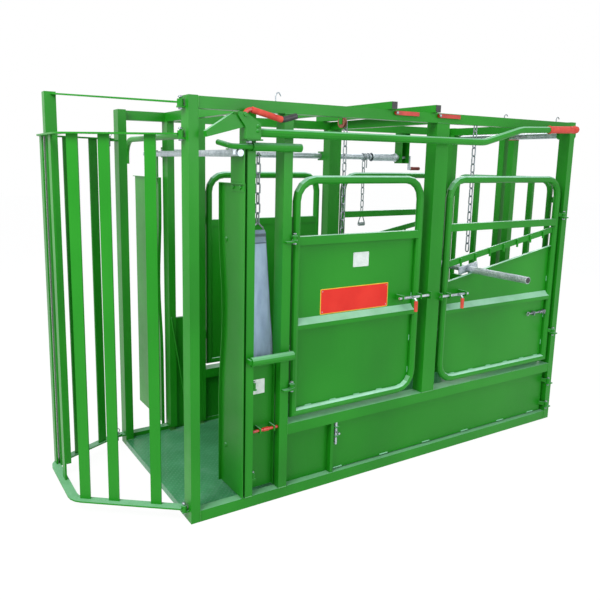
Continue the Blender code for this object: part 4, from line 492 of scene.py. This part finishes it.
class Batch:
    """Points and faces of several closed shapes that make one piece."""

    def __init__(self):
        self.points = []
        self.faces = []

    def loft(self, rings, closed=False):
        """A skin over rings of equal count, capped at its ends unless it is closed."""
        base = len(self.points)
        count = len(rings[0])
        for ring in rings:
            self.points += [Vector(point) for point in ring]
        spans = len(rings) if closed else len(rings) - 1
        for row in range(spans):
            low = base + row * count
            high = base + (row + 1) % len(rings) * count
            for column in range(count):
                beside = (column + 1) % count
                self.faces.append((low + column, low + beside, high + beside, high + column))
        if not closed:
            self.faces.append(tuple(base + k for k in range(count)))
            self.faces.append(tuple(len(self.points) - count + k for k in range(count)))

    def box(self, low, high):
        rings = []
        for x in (low[0], high[0]):
            rings.append([(x, low[1], low[2]), (x, high[1], low[2]), (x, high[1], high[2]),
                          (x, low[1], high[2])])
        self.loft(rings)

    def side_box(self, side, stations, depths, heights):
        acrosses = sorted(across(side, depth) for depth in depths)
        self.box(at(stations[0], acrosses[0], heights[0]), at(stations[1], acrosses[1], heights[1]))

    def sweep(self, path, section, normal, closed=False):
        """A section carried along a path, with mitred corners."""
        normal = Vector(normal).normalized()
        count = len(path)
        rings = []
        for index, point in enumerate(path):
            arriving = leaving = None
            if index > 0 or closed:
                arriving = (point - path[index - 1]).normalized()
            if index < count - 1 or closed:
                leaving = (path[(index + 1) % count] - point).normalized()
            arriving = arriving or leaving
            leaving = leaving or arriving
            tangent = (arriving + leaving).normalized()
            stretch = 1.0 / max(tangent.dot(arriving), 0.3)
            sideways = tangent.cross(normal).normalized()
            rings.append([point + sideways * (u * stretch) + normal * v for u, v in section])
        self.loft(rings, closed)

    def ring(self, centre, normal, radius, wire, sides=8):
        """A round wire bent to a ring, square to Y or to Z."""
        second = Z if normal == Y else Y
        self.sweep(ring_points(centre, X, second, radius, 20), circle(wire, sides), normal, closed=True)

    def turned(self, base, direction, profile, sides):
        """A solid of revolution from pairs of distance along and radius."""
        first, second = square_pair(direction)
        self.loft([ring_points(base + direction * distance, first, second, radius, sides)
                   for distance, radius in profile])

    def rod(self, start, end, radius, sides, chamfer=0.0):
        length = (end - start).length
        profile = [(0.0, radius), (length, radius)]
        if chamfer:
            profile = [(0.0, radius - chamfer), (chamfer, radius), (length - chamfer, radius),
                       (length, radius - chamfer)]
        self.turned(start, (end - start).normalized(), profile, sides)

    def dome(self, base, direction, radius, height, sides=16):
        """A bolt head or rivet: a low dome on a flat foot."""
        shares = ((0.0, 1.0), (0.45, 1.0), (0.78, 0.80), (0.95, 0.45), (1.0, 0.12))
        self.turned(base, direction, [(height * rise, radius * size) for rise, size in shares], sides)

    def nut(self, base, direction, radius, height):
        shares = ((0.0, 0.92), (0.12, 1.0), (0.88, 1.0), (1.0, 0.92))
        self.turned(base, direction, [(height * rise, radius * size) for rise, size in shares], 6)

    def bead(self, start, end, radius=0.0032, step=0.006):
        """A weld bead: a low run of overlapping ripples between two points."""
        direction = end - start
        count = max(3, int(direction.length / step) * 2)
        first, second = square_pair(direction.normalized())
        rings = []
        for k in range(count + 1):
            ripple = 1.0 if k % 2 else 0.82
            size = radius * (0.55 if k in (0, count) else ripple)
            rings.append(ring_points(start + direction * (k / count), first, second, size, 6))
        self.loft(rings)

    def spring(self, start, end, radius, wire, turns, steps=14):
        """A wound spring: one unbroken wire round the line between two points."""
        direction = (end - start).normalized()
        first, second = square_pair(direction)
        total = turns * steps
        rings = []
        for step in range(total + 1):
            angle = 2 * pi * step / steps
            radial = first * cos(angle) + second * sin(angle)
            centre = start + (end - start) * (step / total) + radial * radius
            rings.append(ring_points(centre, radial, direction, wire, 6))
        self.loft(rings)

    def make(self, name, material, body, smooth=False):
        return mesh_piece(name, self.points, self.faces, material, body, smooth)


dress_nodes()


# Strap and chains

CHAIN_SEAT = 0.0036
LONG_CHAINS = {"rump_chain": Y, "pulley_chain": X}
LONG_CHAIN_LINKS = 16
WINCH_LINKS = 8
STRAP_LINKS = 7
TRIANGLE_SEAT = 0.0053
TRIANGLE_WIRE = 0.0042
COIL_RADIUS = 0.0255
COIL_SHIFTS = (-0.012, -0.003, 0.006)
COIL_PITCH = 0.004
HEAD_WIDTH = 0.092
WIDENING = 0.060
FOLD_DEPTH = 0.0085
CLOTH_THICKNESS = 0.0034


def add_chain(batch, top, normal, count):
    """Round-wire links that hang from a point, each turned a quarter from the one above it."""
    normals = (normal, normal.cross(Z))
    half_run = (CHAIN_PITCH + 2 * CHAIN_WIRE) / 2 - CHAIN_RADIUS
    for index in range(count):
        square = normals[index % 2]
        sideways = square.cross(Z).normalized()
        centre = top - Z * (index * CHAIN_STEP) - Z * (CHAIN_PITCH / 2)
        path = arc_points(centre + Z * half_run, sideways, Z, CHAIN_RADIUS, 0.0, pi, 7)
        path += arc_points(centre - Z * half_run, sideways, Z, CHAIN_RADIUS, pi, pi, 7)
        batch.sweep(path, circle(CHAIN_WIRE, 10), square, closed=True)
    return top - Z * (count * CHAIN_STEP)


def add_triangle(batch, apex, half, drop):
    corners = [apex, apex + Vector((-half, 0, -drop)), apex + Vector((half, 0, -drop))]
    path = rounded(corners, [0.009, 0.010, 0.010], 6, closed=True)
    batch.sweep(path, circle(TRIANGLE_WIRE, 10), Y, closed=True)


def dress_chains():
    """Round-wire chains over the same links as the model's, with their rings and coil."""
    places = {name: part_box(name) for name in CHAINS}
    for name, normal in LONG_CHAINS.items():
        low, high = places[name]
        batch = Batch()
        top = Vector(((low[0] + high[0]) / 2, (low[1] + high[1]) / 2, high[2] - CHAIN_SEAT))
        add_chain(batch, top, normal, LONG_CHAIN_LINKS)
        piece = batch.make("detailed_" + name, DARK_ZINC, "cage", smooth=True)
        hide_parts(name)

    batch = Batch()
    centre = at(WINCH_CHAIN_STATION, across(FAR, WINCH_DEPTH), WINCH_HEIGHT)
    for shift in COIL_SHIFTS:
        turn = ring_points(centre, Y, Z, COIL_RADIUS, 24)
        path = [point + X * (shift + COIL_PITCH * k / 23) for k, point in enumerate(turn)]
        batch.sweep(path, circle(0.004, 8), X, closed=True)
    apex = add_chain(batch, centre - Z * 0.0349, Y, WINCH_LINKS) + Z * TRIANGLE_SEAT
    drop = 0.085
    add_triangle(batch, apex, 0.035, drop)
    barrel = apex - Z * drop
    batch.rod(barrel - X * 0.028, barrel + X * 0.028, 0.0155, 24, 0.003)
    piece = batch.make("detailed_winch_chain", DARK_ZINC, "cage", smooth=True)
    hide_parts("winch_chain")

    low, high = places["strap_chain"]
    batch = Batch()
    top = at(STRAP_STATION, STRAP_ACROSS, high[2] - CHAIN_SEAT)
    apex = add_chain(batch, top, X, STRAP_LINKS) + Z * TRIANGLE_SEAT
    bar = low[2] + TRIANGLE_WIRE
    add_triangle(batch, apex, 0.049, apex.z - bar)
    piece = batch.make("detailed_strap_chain", DARK_ZINC, "cage", smooth=True)
    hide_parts("strap_chain")
    return Vector((apex.x, apex.y, bar))


def strap_points(centre, rows, columns):
    """The strap's middle surface below the ring's bar: soft folds that widen downward."""
    top = centre.z - 0.0075
    grid = []
    for row in range(rows + 1):
        share = row / rows
        width = HEAD_WIDTH + WIDENING * share ** 0.8
        fold = FOLD_DEPTH * min(1.0, share * 1.6)
        sway = 0.0030 * sin(share * 9.0 + 1.0) * share
        line = []
        for column in range(columns + 1):
            place = column / columns - 0.5
            wave = fold * cos(place * 2.6 * pi + 0.7 + 0.25 * sin(share * 7.0))
            ripple = 0.0014 * sin(place * 19.0 + share * 23.0) * min(1.0, share * 3.0)
            curl = 0.006 * share * (abs(place) * 2) ** 4
            x = centre.x + place * width + 0.045 * share + sway * 0.5
            y = centre.y + 0.010 * share + wave + ripple - curl
            line.append(Vector((x, y, top - STRAP_DROP * share)))
        grid.append(line)
    return grid


def thick_sheet(batch, grid, thickness):
    """A cloth of even thickness over a grid of middle points."""
    rows = len(grid)
    columns = len(grid[0])
    rings = []
    for row in range(rows):
        front = []
        back = []
        for column in range(columns):
            down = grid[min(row + 1, rows - 1)][column] - grid[max(row - 1, 0)][column]
            along = grid[row][min(column + 1, columns - 1)] - grid[row][max(column - 1, 0)]
            offset = along.cross(down).normalized() * (thickness / 2)
            front.append(grid[row][column] + offset)
            back.append(grid[row][column] - offset)
        rings.append(front + back[::-1])
    batch.loft(rings)


def flat_patch(batch, centre, width, offset, places, heights, thickness):
    """An upright piece of webbing, square to Y, at an offset from the strap's middle."""
    grid = [[centre + Vector((place * width, offset, height)) for place in places] for height in heights]
    thick_sheet(batch, grid, thickness)


def dress_strap(centre):
    """The sling strap with its sewn head band, stitches and turned side hems."""
    grid = strap_points(centre, 64, 26)
    batch = Batch()
    thick_sheet(batch, grid, CLOTH_THICKNESS)
    cloth = batch.make("strap_cloth", WEBBING, "cage", smooth=True)
    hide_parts("sling_strap")

    band = Batch()
    loop_profile = ((0.0, 0.0066), (0.0012, 0.0072), (0.0398, 0.0072), (0.0410, 0.0066))
    for left in (-0.041, 0.0):
        band.loft([ring_points(centre + X * (left + shift), Y, Z, radius, 20)
                   for shift, radius in loop_profile])
    for sign in (-1, 1):
        flat_patch(band, centre, 0.093, sign * 0.0036, (-0.5, -0.25, 0.0, 0.25, 0.5),
                   (-0.004, -0.012, -0.030, -0.050, -0.064), 0.0026)
    loop_piece = band.make("strap_head_band", PALE_BAND, "cage", smooth=True)

    marks = Batch()
    for low, high in ((-0.029, -0.012), (-0.063, -0.058)):
        heights = (high, (low + high) / 2, low)
        for sign in (-1, 1):
            flat_patch(marks, centre, 0.0938, sign * 0.0054, (-0.5, 0.0, 0.5), heights, 0.0014)
    mark_piece = marks.make("strap_dark_bands", HEAD_BAND, "cage", smooth=True)

    stitches = Batch()
    for sign in (-1, 1):
        for height in (-0.014, -0.027, -0.034, -0.042, -0.050):
            for k in range(17):
                start = centre + Vector((-0.041 + k * 0.005, sign * 0.0058, height))
                stitches.rod(start, start + X * 0.0031, 0.0006, 6)
    thread = stitches.make("strap_stitches", THREAD, "cage")

    hems = Batch()
    hem_section = [(0.0022 * cos(pi * k / 4), 0.0032 * sin(pi * k / 4)) for k in range(8)]
    for column in (0, -1):
        hems.sweep([line[column] for line in grid[::2]], hem_section, Y)
    hem = hems.make("strap_hems", HEAD_BAND, "cage", smooth=True)


# Welds

SILL_LINE = SILL_TOP + 0.0002
WAIST_LINE = WAIST[1] + 0.0002
RAIL_LINE = RAIL_BOTTOM - 0.0002
SILL_JOINT = (0.002, SILL_TOP - 0.002)
WAIST_JOINT = (WAIST[0] + 0.002, WAIST[1] - 0.002)
RAIL_JOINT = (RAIL_BOTTOM + 0.002, HEIGHT - 0.002)
LEVEL_WELDS = {
    "gate_post": (SILL_LINE, RAIL_LINE),
    "hinge_post": (SILL_LINE, RAIL_LINE),
    "centre_post": (RAIL_LINE, WAIST_LINE),
}
UPRIGHT_WELDS = {
    "front_post": (SILL_JOINT, RAIL_JOINT),
    "hinge_post": (WAIST_JOINT,),
    "rear_post": (SILL_JOINT, RAIL_JOINT, WAIST_JOINT),
}
FLOOR_LINE = 0.0358
WAIST_SEAMS = (1.78, 1.98, 2.18, 2.38, 2.58)
WAIST_SEAM_LINE = WAIST[1] + 0.0004
LOWER_DOOR_SEAMS = (0.900, 1.250, 1.600, 1.950, 2.300, 2.620)
LOWER_SEAM_LINE = 0.0715
DOOR_WELDS = (
    ("front_door", (0.590, 1.495), (0.700, 0.870, 1.040, 1.210, 1.380), 0.930),
    ("rear_door", (1.690, 2.765), (1.820, 1.990, 2.160, 2.330, 2.500, 2.650), 0.894),
)
DOOR_SIDE_WELDS = (0.560, 0.760, 1.020)
DOOR_TUBE_WIDTH = 0.045


def dress_frame_welds():
    """Beads where posts meet rails and sills, on the outer faces and inside corners."""
    batch = Batch()
    for side in (NEAR, FAR):
        outer = across(side, -0.0005)
        seam = across(side, 0.0025)
        for name, (first, width, depth) in POSTS.items():
            last = first + width
            for height in LEVEL_WELDS.get(name, ()):
                batch.bead(at(first, outer, height), at(last, outer, height))
            edge = first if name == "rear_post" else last
            for low, high in UPRIGHT_WELDS.get(name, ()):
                batch.bead(at(edge, outer, low), at(edge, outer, high))
            if name != "centre_post":
                inner = across(side, depth)
                batch.bead(at(first + 0.004, inner, FLOOR_LINE), at(last - 0.004, inner, FLOOR_LINE), 0.0028)
        for station in WAIST_SEAMS:
            batch.bead(at(station, seam, WAIST_SEAM_LINE), at(station + 0.050, seam, WAIST_SEAM_LINE),
                       0.0034, 0.008)
    batch.make("frame_welds", WELD, "cage", smooth=True)


def dress_door_welds():
    """Seams along the doors' tubes, ledges and lower edges, coloured pale as a painted highlight on the
    beads.
    """
    seam = Batch()
    for station in LOWER_DOOR_SEAMS:
        seam.bead(at(station, LOWER_DOOR_FACE, LOWER_SEAM_LINE),
                  at(station + 0.065, LOWER_DOOR_FACE, LOWER_SEAM_LINE), 0.0048, 0.008)
    seam.make("lower_door_welds", SEAM, "near_lower_door", smooth=True)
    low = DOOR_BOTTOM + DOOR_TUBE_WIDTH
    for word, side in SIDES:
        outer = across(side, DOOR_FACE)
        for door, span, stations, ledge in DOOR_WELDS:
            owner = word + "_" + door
            level = ledge - 0.001
            batch = Batch()
            for station in stations:
                batch.bead(at(station, outer, low), at(station + 0.042, outer, low), 0.0044, 0.007)
                batch.bead(at(station, outer, level), at(station + 0.030, outer, level), 0.0026)
            for height in DOOR_SIDE_WELDS:
                for station in (span[0] + 0.046, span[1] - 0.046):
                    batch.bead(at(station, outer, height), at(station, outer, height + 0.035), 0.0028)
            batch.make(owner + "_welds", SEAM, owner, smooth=True)


# Caps, plugs and pins

def dress_caps():
    """Plugs and caps on open tube ends."""
    steel = Batch()
    for side in (NEAR, FAR):
        for name in ("front_post", "rear_post"):
            first, width, depth = POSTS[name]
            steel.side_box(side, (first + 0.001, first + width - 0.001), (0.001, depth - 0.001),
                           (HEIGHT - 0.003, HEIGHT + 0.0032))
    steel.make("post_caps", GREEN, "cage")

    plugs = Batch()
    depths = (-BEAM_OVERHANG - 0.0015, -BEAM_OVERHANG + 0.004)
    heights = (HEIGHT + 0.0018, HEIGHT + 0.0388)
    for station in BEAM_STATIONS:
        for side in (NEAR, FAR):
            plugs.side_box(side, (station - 0.0185, station + 0.0185), depths, heights)
    plugs.make("roof_beam_plugs", BLACK, "cage")

    bar = Batch()
    for end, sign in RUMP_ENDS:
        place = at(RUMP_STATION, end, RUMP_HEIGHT)
        bar.rod(place - Y * (sign * 0.016), place + Y * (sign * 0.0030), 0.0172, 24, 0.002)
    bar.make("rump_bar_plugs", BLACK, "rump_bar", smooth=True)

    for word, side, top, depth in STILES:
        cap = Batch()
        cap.side_box(side, (LEAF_STATION - 0.0245, LEAF_STATION + 0.026), (depth - 0.0505, depth + 0.0005),
                     (top - 0.002, top + 0.005))
        cap.make(word + "_stile_cap", PRIMER, word + "_rear_leaf")


def dress_pins():
    """Heads and nuts on the hinge pins, the lever's pivot and the beam handles' studs."""
    pins = Batch()
    for side in (NEAR, FAR):
        centre = across(side, HINGE_DEPTH)
        places = [(station, base) for station, bases in DOOR_HINGES.values() for base in bases]
        if side == NEAR:
            places += [(DOOR_HINGES["rear_door"][0], base) for base in LOWER_HINGES]
        for station, base in places:
            pins.dome(at(station, centre, base + EYE_TOP), Z, 0.0090, 0.0065)
            pins.nut(at(station, centre, base), -Z, 0.0100, 0.0085)
    for base in SHOULDER_HINGES:
        pins.dome(at(*SHOULDER_HINGE, base + EYE_TOP), Z, 0.0085, 0.006)
    for height in (HOOP_LOW, HOOP_HIGH, TIE_HEIGHT):
        pins.dome(at(*GUARD_HINGE, height + 0.0220), Z, 0.0105, 0.009)
        pins.nut(at(*GUARD_HINGE, height - 0.0232), -Z, 0.0105, 0.0085)
    pins.dome(at(LEVER_PIVOT, LEVER_ACROSS, LEVER_HEIGHT + 0.0495), Z, 0.0155, 0.010, 20)
    pins.nut(at(LEVER_PIVOT, LEVER_ACROSS, LEVER_HEIGHT - 0.0380), -Z, 0.0150, 0.0120)
    for station in BEAM_STATIONS:
        pins.dome(at(station + 0.034, -0.0172, HEIGHT - 0.016), -Y, 0.0085, 0.006)
    pins.make("pin_heads", DARK_ZINC, "cage", smooth=True)


def dress_knuckles():
    """Knuckle collars on the side doors' eyes."""
    for word, side in SIDES:
        for door, (station, bases) in DOOR_HINGES.items():
            owner = word + "_" + door
            batch = Batch()
            for base in bases:
                for rise in (0.0130, 0.0340):
                    batch.ring(at(station, across(side, HINGE_DEPTH), base + rise), Z, 0.0138, 0.0022, 6)
            batch.make(owner + "_knuckles", GREEN, owner, smooth=True)


# Latches, lever and winch

def dress_latches():
    """Red sleeves on the side bolts' handles."""
    for word, side in SIDES:
        for latch, knob, height in LATCHES:
            grip = Batch()
            low = at(knob, across(side, BOLT_DEPTH - HANDLE_REACH), height - 0.078)
            grip.rod(low, low + Z * 0.064, 0.0105, 18, 0.003)
            grip.make(word + "_" + latch + "_grip", GRIP, word + "_" + latch, smooth=True)


def dress_lever():
    """Knob ring, nuts and bolt heads on the head lever's gear, and the ends of its grip."""
    gear = Batch()
    gear.ring(at(0.2175, LEVER_ACROSS + 0.030, GEAR_TOP - 0.006), Y, 0.014, 0.0040)
    for sign in (-1, 1):
        face = LEVER_ACROSS + sign * 0.0278
        gear.nut(at(0.252, face, GEAR_TOP), Y * sign, 0.0095, 0.0070)
        for height in (HEIGHT - 0.150, HEIGHT - 0.128):
            gear.dome(at(0.318, face, height), Y * sign, 0.0085, 0.0055)
    gear.make("lever_fittings", GREEN, "head_lever", smooth=True)

    level = LEVER_HEIGHT + LEVER_RISE + 0.010
    start = at(LEVER_END, LEVER_ACROSS, level)
    along = (start - at(LEVER_RISE_END, LEVER_ACROSS, level - 0.010)).normalized()
    end = start + along * GRIP_LENGTH
    ends = Batch()
    ends.rod(end - along * 0.004, end + along * 0.008, 0.0215, 24, 0.004)
    for distance in (0.006, 0.262):
        place = start + along * distance
        ends.rod(place, place + along * 0.010, 0.0262, 24, 0.003)
    ends.make("lever_grip_ends", GRIP, "head_lever", smooth=True)


def dress_release_handle():
    """The red grip on the release handle's straight run, and its black end."""
    corners = [at(station, LEVER_ACROSS, GEAR_TOP + rise) for station, rise in RELEASE_PATH]
    path = rounded(corners, [0, 0.03, 0.05, 0], 6)
    grip = Batch()
    grip.sweep(path[7:11], circle(0.0148, 14), Y)
    grip.make("release_handle_grip", GRIP, "release_handle", smooth=True)
    end = path[-1]
    direction = (end - path[-2]).normalized()
    tip = Batch()
    tip.sweep(path[10:-1] + [end - direction * 0.004, end], circle(0.0150, 14), Y)
    tip.rod(end - direction * 0.001, end + direction * 0.005, 0.0150, 14, 0.004)
    tip.make("release_handle_tip", BLACK, "release_handle", smooth=True)


def dress_winch():
    """Drum cheeks, crank grip and the wire hook over the winch tube."""
    centre = across(FAR, WINCH_DEPTH)
    cheeks = Batch()
    for station in DRUM_CHEEKS:
        cheeks.rod(at(station, centre, WINCH_HEIGHT), at(station + 0.006, centre, WINCH_HEIGHT),
                   0.0335, 28, 0.002)
    cheeks.make("winch_drum_cheeks", ZINC, "winch_tube", smooth=True)
    front, rear = (at(station, centre, WINCH_HEIGHT - CRANK_DROP) for station in CRANK_GRIP)
    grip = Batch()
    grip.rod(front, rear, 0.0140, 22, 0.004)
    grip.make("winch_crank_grip", DARK_RED, "winch_tube", smooth=True)
    middle = at(WINCH_HOOK_STATION, centre, WINCH_HEIGHT)
    wrap = arc_points(middle, Y, Z, 0.0262, -0.35 * pi, 1.6 * pi, 18)
    hook = Batch()
    hook.sweep([wrap[0] + Vector((0, 0.002, -0.060))] + wrap, circle(0.0042, 8), X)
    hook.make("winch_hook", DARK_ZINC, "cage", smooth=True)


# Plates: name, look, slot, body, stations, heights, depth, thickness, corner

PLATES = (
    ("red_plate", RED_PLATE, "sign_red", "near_front_door",
     (0.7895, 1.2605), (0.9955, 1.1285), 0.0395, 0.0022, 0.004),
    ("yellow_border", YELLOW, "sign_yellow", "near_front_door",
     (0.785, 1.265), (0.991, 1.133), 0.0398, 0.0016, 0.006),
    ("pale_plate", LABEL, "pale_label", "near_front_door",
     (1.002, 1.112), (1.240, 1.322), 0.0398, 0.0016, 0.004),
    ("small_plate", LABEL, "pale_label", "near_shoulder_door",
     (0.376, 0.452), (0.600, 0.680), 0.0598, 0.0016, 0.004),
)
RIVETS = (
    ((0.799, 1.251), (1.005, 1.119), 0.0375, 0.0028, 0.0016),
    ((1.007, 1.107), (1.245, 1.317), 0.0384, 0.0022, 0.0014),
)


def add_plate(batch, stations, heights, depth, thickness, corner):
    """A thin plate with rounded corners that lies on a near sheet's outer face."""
    centres = ((stations[1] - corner, heights[1] - corner), (stations[0] + corner, heights[1] - corner),
               (stations[0] + corner, heights[0] + corner), (stations[1] - corner, heights[0] + corner))
    outline = []
    for quarter, (station, height) in enumerate(centres):
        for step in range(4):
            angle = 0.5 * pi * (quarter + step / 3)
            outline.append((station + corner * cos(angle), height + corner * sin(angle)))
    batch.loft([[at(station, level, height) for station, height in outline]
                for level in (depth, depth - thickness)])


def dress_plates():
    """Bare plates where the real one has signs and labels, and the rivets that hold them."""
    for name, finish, slot, body, stations, heights, depth, thickness, corner in PLATES:
        batch = Batch()
        add_plate(batch, stations, heights, depth, thickness, corner)
        batch.make(name, finish, body)
    rivets = Batch()
    for stations, heights, depth, radius, rise in RIVETS:
        for station in stations:
            for height in heights:
                rivets.dome(at(station, depth, height), -Y, radius, rise, 10)
    rivets.make("plate_rivets", ZINC, "near_front_door", smooth=True)


# Jaws, guard, rail hooks, door bolt and brace

def dress_jaws():
    """Bolt heads on the jaws' front faces and nuts on their hangers."""
    for word, middle, hanger in JAWS:
        batch = Batch()
        for height in JAW_BOLT_HEIGHTS:
            batch.dome(at(JAW_FACE, middle, height), -X, 0.0125, 0.008)
        for share in (0.22, 0.78):
            place = hanger[0] + (hanger[1] - hanger[0]) * share
            batch.nut(at(HANGER_FACE, place, JAW_TOP - 0.020), -X, 0.0105, 0.0080)
        batch.make(word + "_jaw_bolts", GREEN, word + "_jaw", smooth=True)


def dress_rail_hooks():
    """Bent wire hooks on the near top rail."""
    hooks = Batch()
    for station, high in RAIL_HOOKS:
        base = at(station, RAIL_MIDDLE, HEIGHT - 0.002)
        path = rounded([base, base + Z * (high * 0.62), base + Vector((0.016, 0, high)),
                        base + Vector((0.030, 0, high * 0.55))], [0, 0.010, 0.010, 0], 5)
        hooks.sweep(path, circle(0.0032, 8), Y)
    hooks.make("rail_hooks", DARK_ZINC, "cage", smooth=True)


def dress_guard():
    """Drop pins with ring heads through the ends of the nose guard's hoops."""
    pins = Batch()
    for height in (HOOP_LOW, HOOP_HIGH):
        foot = at(*DROP_PIN, height)
        pins.rod(foot - Z * 0.043, foot + Z * 0.014, 0.0065, 14, 0.002)
        pins.rod(foot + Z * 0.0042, foot + Z * 0.0095, 0.0125, 18, 0.0012)
        pins.ring(foot + Z * 0.026, Y, 0.013, 0.0028)
    pins.make("guard_drop_pins", DARK_ZINC, "nose_guard", smooth=True)


def dress_door_bolt():
    """The spring bolt low on the near rear door: bar, two guides, collar, pull ring and spring."""
    depth = 0.0245
    height = 0.805
    bolt = Batch()
    bolt.rod(at(2.545, depth, height), at(2.735, depth, height), 0.0055, 16, 0.0015)
    for station in (2.590, 2.700):
        bolt.side_box(NEAR, (station, station + 0.006), (0.0125, DOOR_FACE),
                      (height - 0.015, height + 0.015))
    bolt.rod(at(2.655, depth, height), at(2.661, depth, height), 0.0105, 18, 0.0012)
    bolt.ring(at(2.537, depth, height), Y, 0.0125, 0.0028)
    bolt.spring(at(2.662, depth, height), at(2.699, depth, height), 0.0088, 0.0014, 6)
    bolt.make("rear_door_spring_bolt", DARK_ZINC, "near_rear_door", smooth=True)


def dress_brace():
    """The thin slanted brace beside the far shoulder panel."""
    brace = Batch()
    brace.rod(at(0.316, BRACE_ACROSS, 0.811), at(0.412, BRACE_ACROSS, 0.205), 0.0050, 14, 0.0015)
    brace.make("far_shoulder_brace", GREEN, "cage", smooth=True)


def dress_details():
    dress_strap(dress_chains())
    dress_frame_welds()
    dress_door_welds()
    dress_caps()
    dress_pins()
    dress_knuckles()
    dress_latches()
    dress_lever()
    dress_release_handle()
    dress_winch()
    dress_plates()
    dress_jaws()
    dress_rail_hooks()
    dress_guard()
    dress_door_bolt()
    dress_brace()


dress_details()


# Camera and light

CAMERA_YAW = 0.5393
CAMERA_PITCH = 0.1739
CAMERA_ROLL = 0.0150
CAMERA_PLACE = (-1.1713, -2.6891, 1.8059)
CAMERA_LENS = 37.74
CAMERA_SHIFT = (0.0507, -0.0446)
STAGE_REACH = 30.0
MIDDLE = (0.0, 0.0, 1.0)
LAMPS = (
    ("key", (-4.6, -1.6, 4.8), (3.0, 3.0), 260.0, (1.0, 0.98, 0.95)),
    ("fill", (1.5, -6.0, 3.0), (4.0, 3.0), 120.0, (0.95, 0.98, 1.0)),
    ("rear", (4.5, 3.0, 4.5), (3.0, 3.0), 110.0, (1.0, 1.0, 1.0)),
)


def look():
    """The photograph's viewpoint, worked out from the cage's straight members."""
    level = cos(CAMERA_PITCH)
    forward = Vector((sin(CAMERA_YAW) * level, cos(CAMERA_YAW) * level, -sin(CAMERA_PITCH)))
    right = Vector((cos(CAMERA_YAW), -sin(CAMERA_YAW), 0.0))
    up = right.cross(forward)
    rolled_right = right * cos(CAMERA_ROLL) + up * sin(CAMERA_ROLL)
    rolled_up = up * cos(CAMERA_ROLL) - right * sin(CAMERA_ROLL)
    camera = bpy.data.cameras.new("camera")
    camera.lens = CAMERA_LENS
    camera.sensor_width = 36.0
    camera.shift_x, camera.shift_y = CAMERA_SHIFT
    holder = bpy.data.objects.new("camera", camera)
    bpy.context.scene.collection.objects.link(holder)
    place = Matrix((rolled_right, rolled_up, -forward)).transposed().to_4x4()
    place.translation = at(*CAMERA_PLACE)
    holder.matrix_world = place
    bpy.context.scene.camera = holder


def lamp(name, place, size, power, colour):
    """A rectangular lamp that faces the middle of the object."""
    light = bpy.data.lights.new(name, "AREA")
    light.shape = "RECTANGLE"
    light.size, light.size_y = size
    light.energy = power
    light.color = colour
    holder = bpy.data.objects.new(name, light)
    holder.location = place
    holder.rotation_euler = (Vector(MIDDLE) - Vector(place)).to_track_quat("-Z", "Y").to_euler()
    bpy.context.scene.collection.objects.link(holder)


def shown_rays(tree):
    """One for rays that show the backdrop: to the camera, mirrored or through glass."""
    path = tree.nodes.new("ShaderNodeLightPath")
    seen = path.outputs["Is Camera Ray"]
    for kind in ("Is Glossy Ray", "Is Transmission Ray"):
        either = tree.nodes.new("ShaderNodeMath")
        either.operation = "MAXIMUM"
        tree.links.new(seen, either.inputs[0])
        tree.links.new(path.outputs[kind], either.inputs[1])
        seen = either.outputs[0]
    return seen


def pale_surface(name, colour, seen):
    """A pale floor that looks evenly white to the camera and in reflections."""
    n = Nodes(name)
    n.out((*colour, 1.0), 0.9)
    glow = n.add("ShaderNodeEmission", {"Color": (1.0, 1.0, 1.0, 1.0), "Strength": seen})
    amount = n.times(shown_rays(n.tree), 0.90)
    blend = n.add("ShaderNodeMixShader", {0: amount, 1: n.shader.outputs[0], 2: glow.outputs[0]})
    n.tree.links.new(blend.outputs[0], n.tree.nodes["Material Output"].inputs["Surface"])
    return n.material


def set_floor():
    floor = Batch()
    floor.box((-STAGE_REACH, -STAGE_REACH, -0.10), (STAGE_REACH, STAGE_REACH, 0.0))
    mesh = bpy.data.meshes.new("stage_floor")
    mesh.from_pydata([tuple(point) for point in floor.points], [], floor.faces)
    mesh.materials.append(pale_surface("stage_floor", (0.80, 0.80, 0.80), 1.05))
    holder = bpy.data.objects.new("stage_floor", mesh)
    bpy.context.scene.collection.objects.link(holder)


def set_sky():
    """A soft even sky that lights the object and shows as plain white."""
    world = bpy.data.worlds.new("plain_sky")
    bpy.context.scene.world = world
    world.use_nodes = True
    tree = world.node_tree
    soft = tree.nodes["Background"]
    soft.inputs["Color"].default_value = (0.93, 0.96, 1.0, 1.0)
    soft.inputs["Strength"].default_value = 0.60
    white = tree.nodes.new("ShaderNodeBackground")
    white.inputs["Color"].default_value = (1.0, 1.0, 1.0, 1.0)
    white.inputs["Strength"].default_value = 1.0
    blend = tree.nodes.new("ShaderNodeMixShader")
    tree.links.new(shown_rays(tree), blend.inputs[0])
    tree.links.new(soft.outputs[0], blend.inputs[1])
    tree.links.new(white.outputs[0], blend.inputs[2])
    tree.links.new(blend.outputs[0], tree.nodes["World Output"].inputs["Surface"])


look()
set_floor()
set_sky()
for row in LAMPS:
    lamp(*row)
bpy.context.scene.view_settings.view_transform = "Standard"
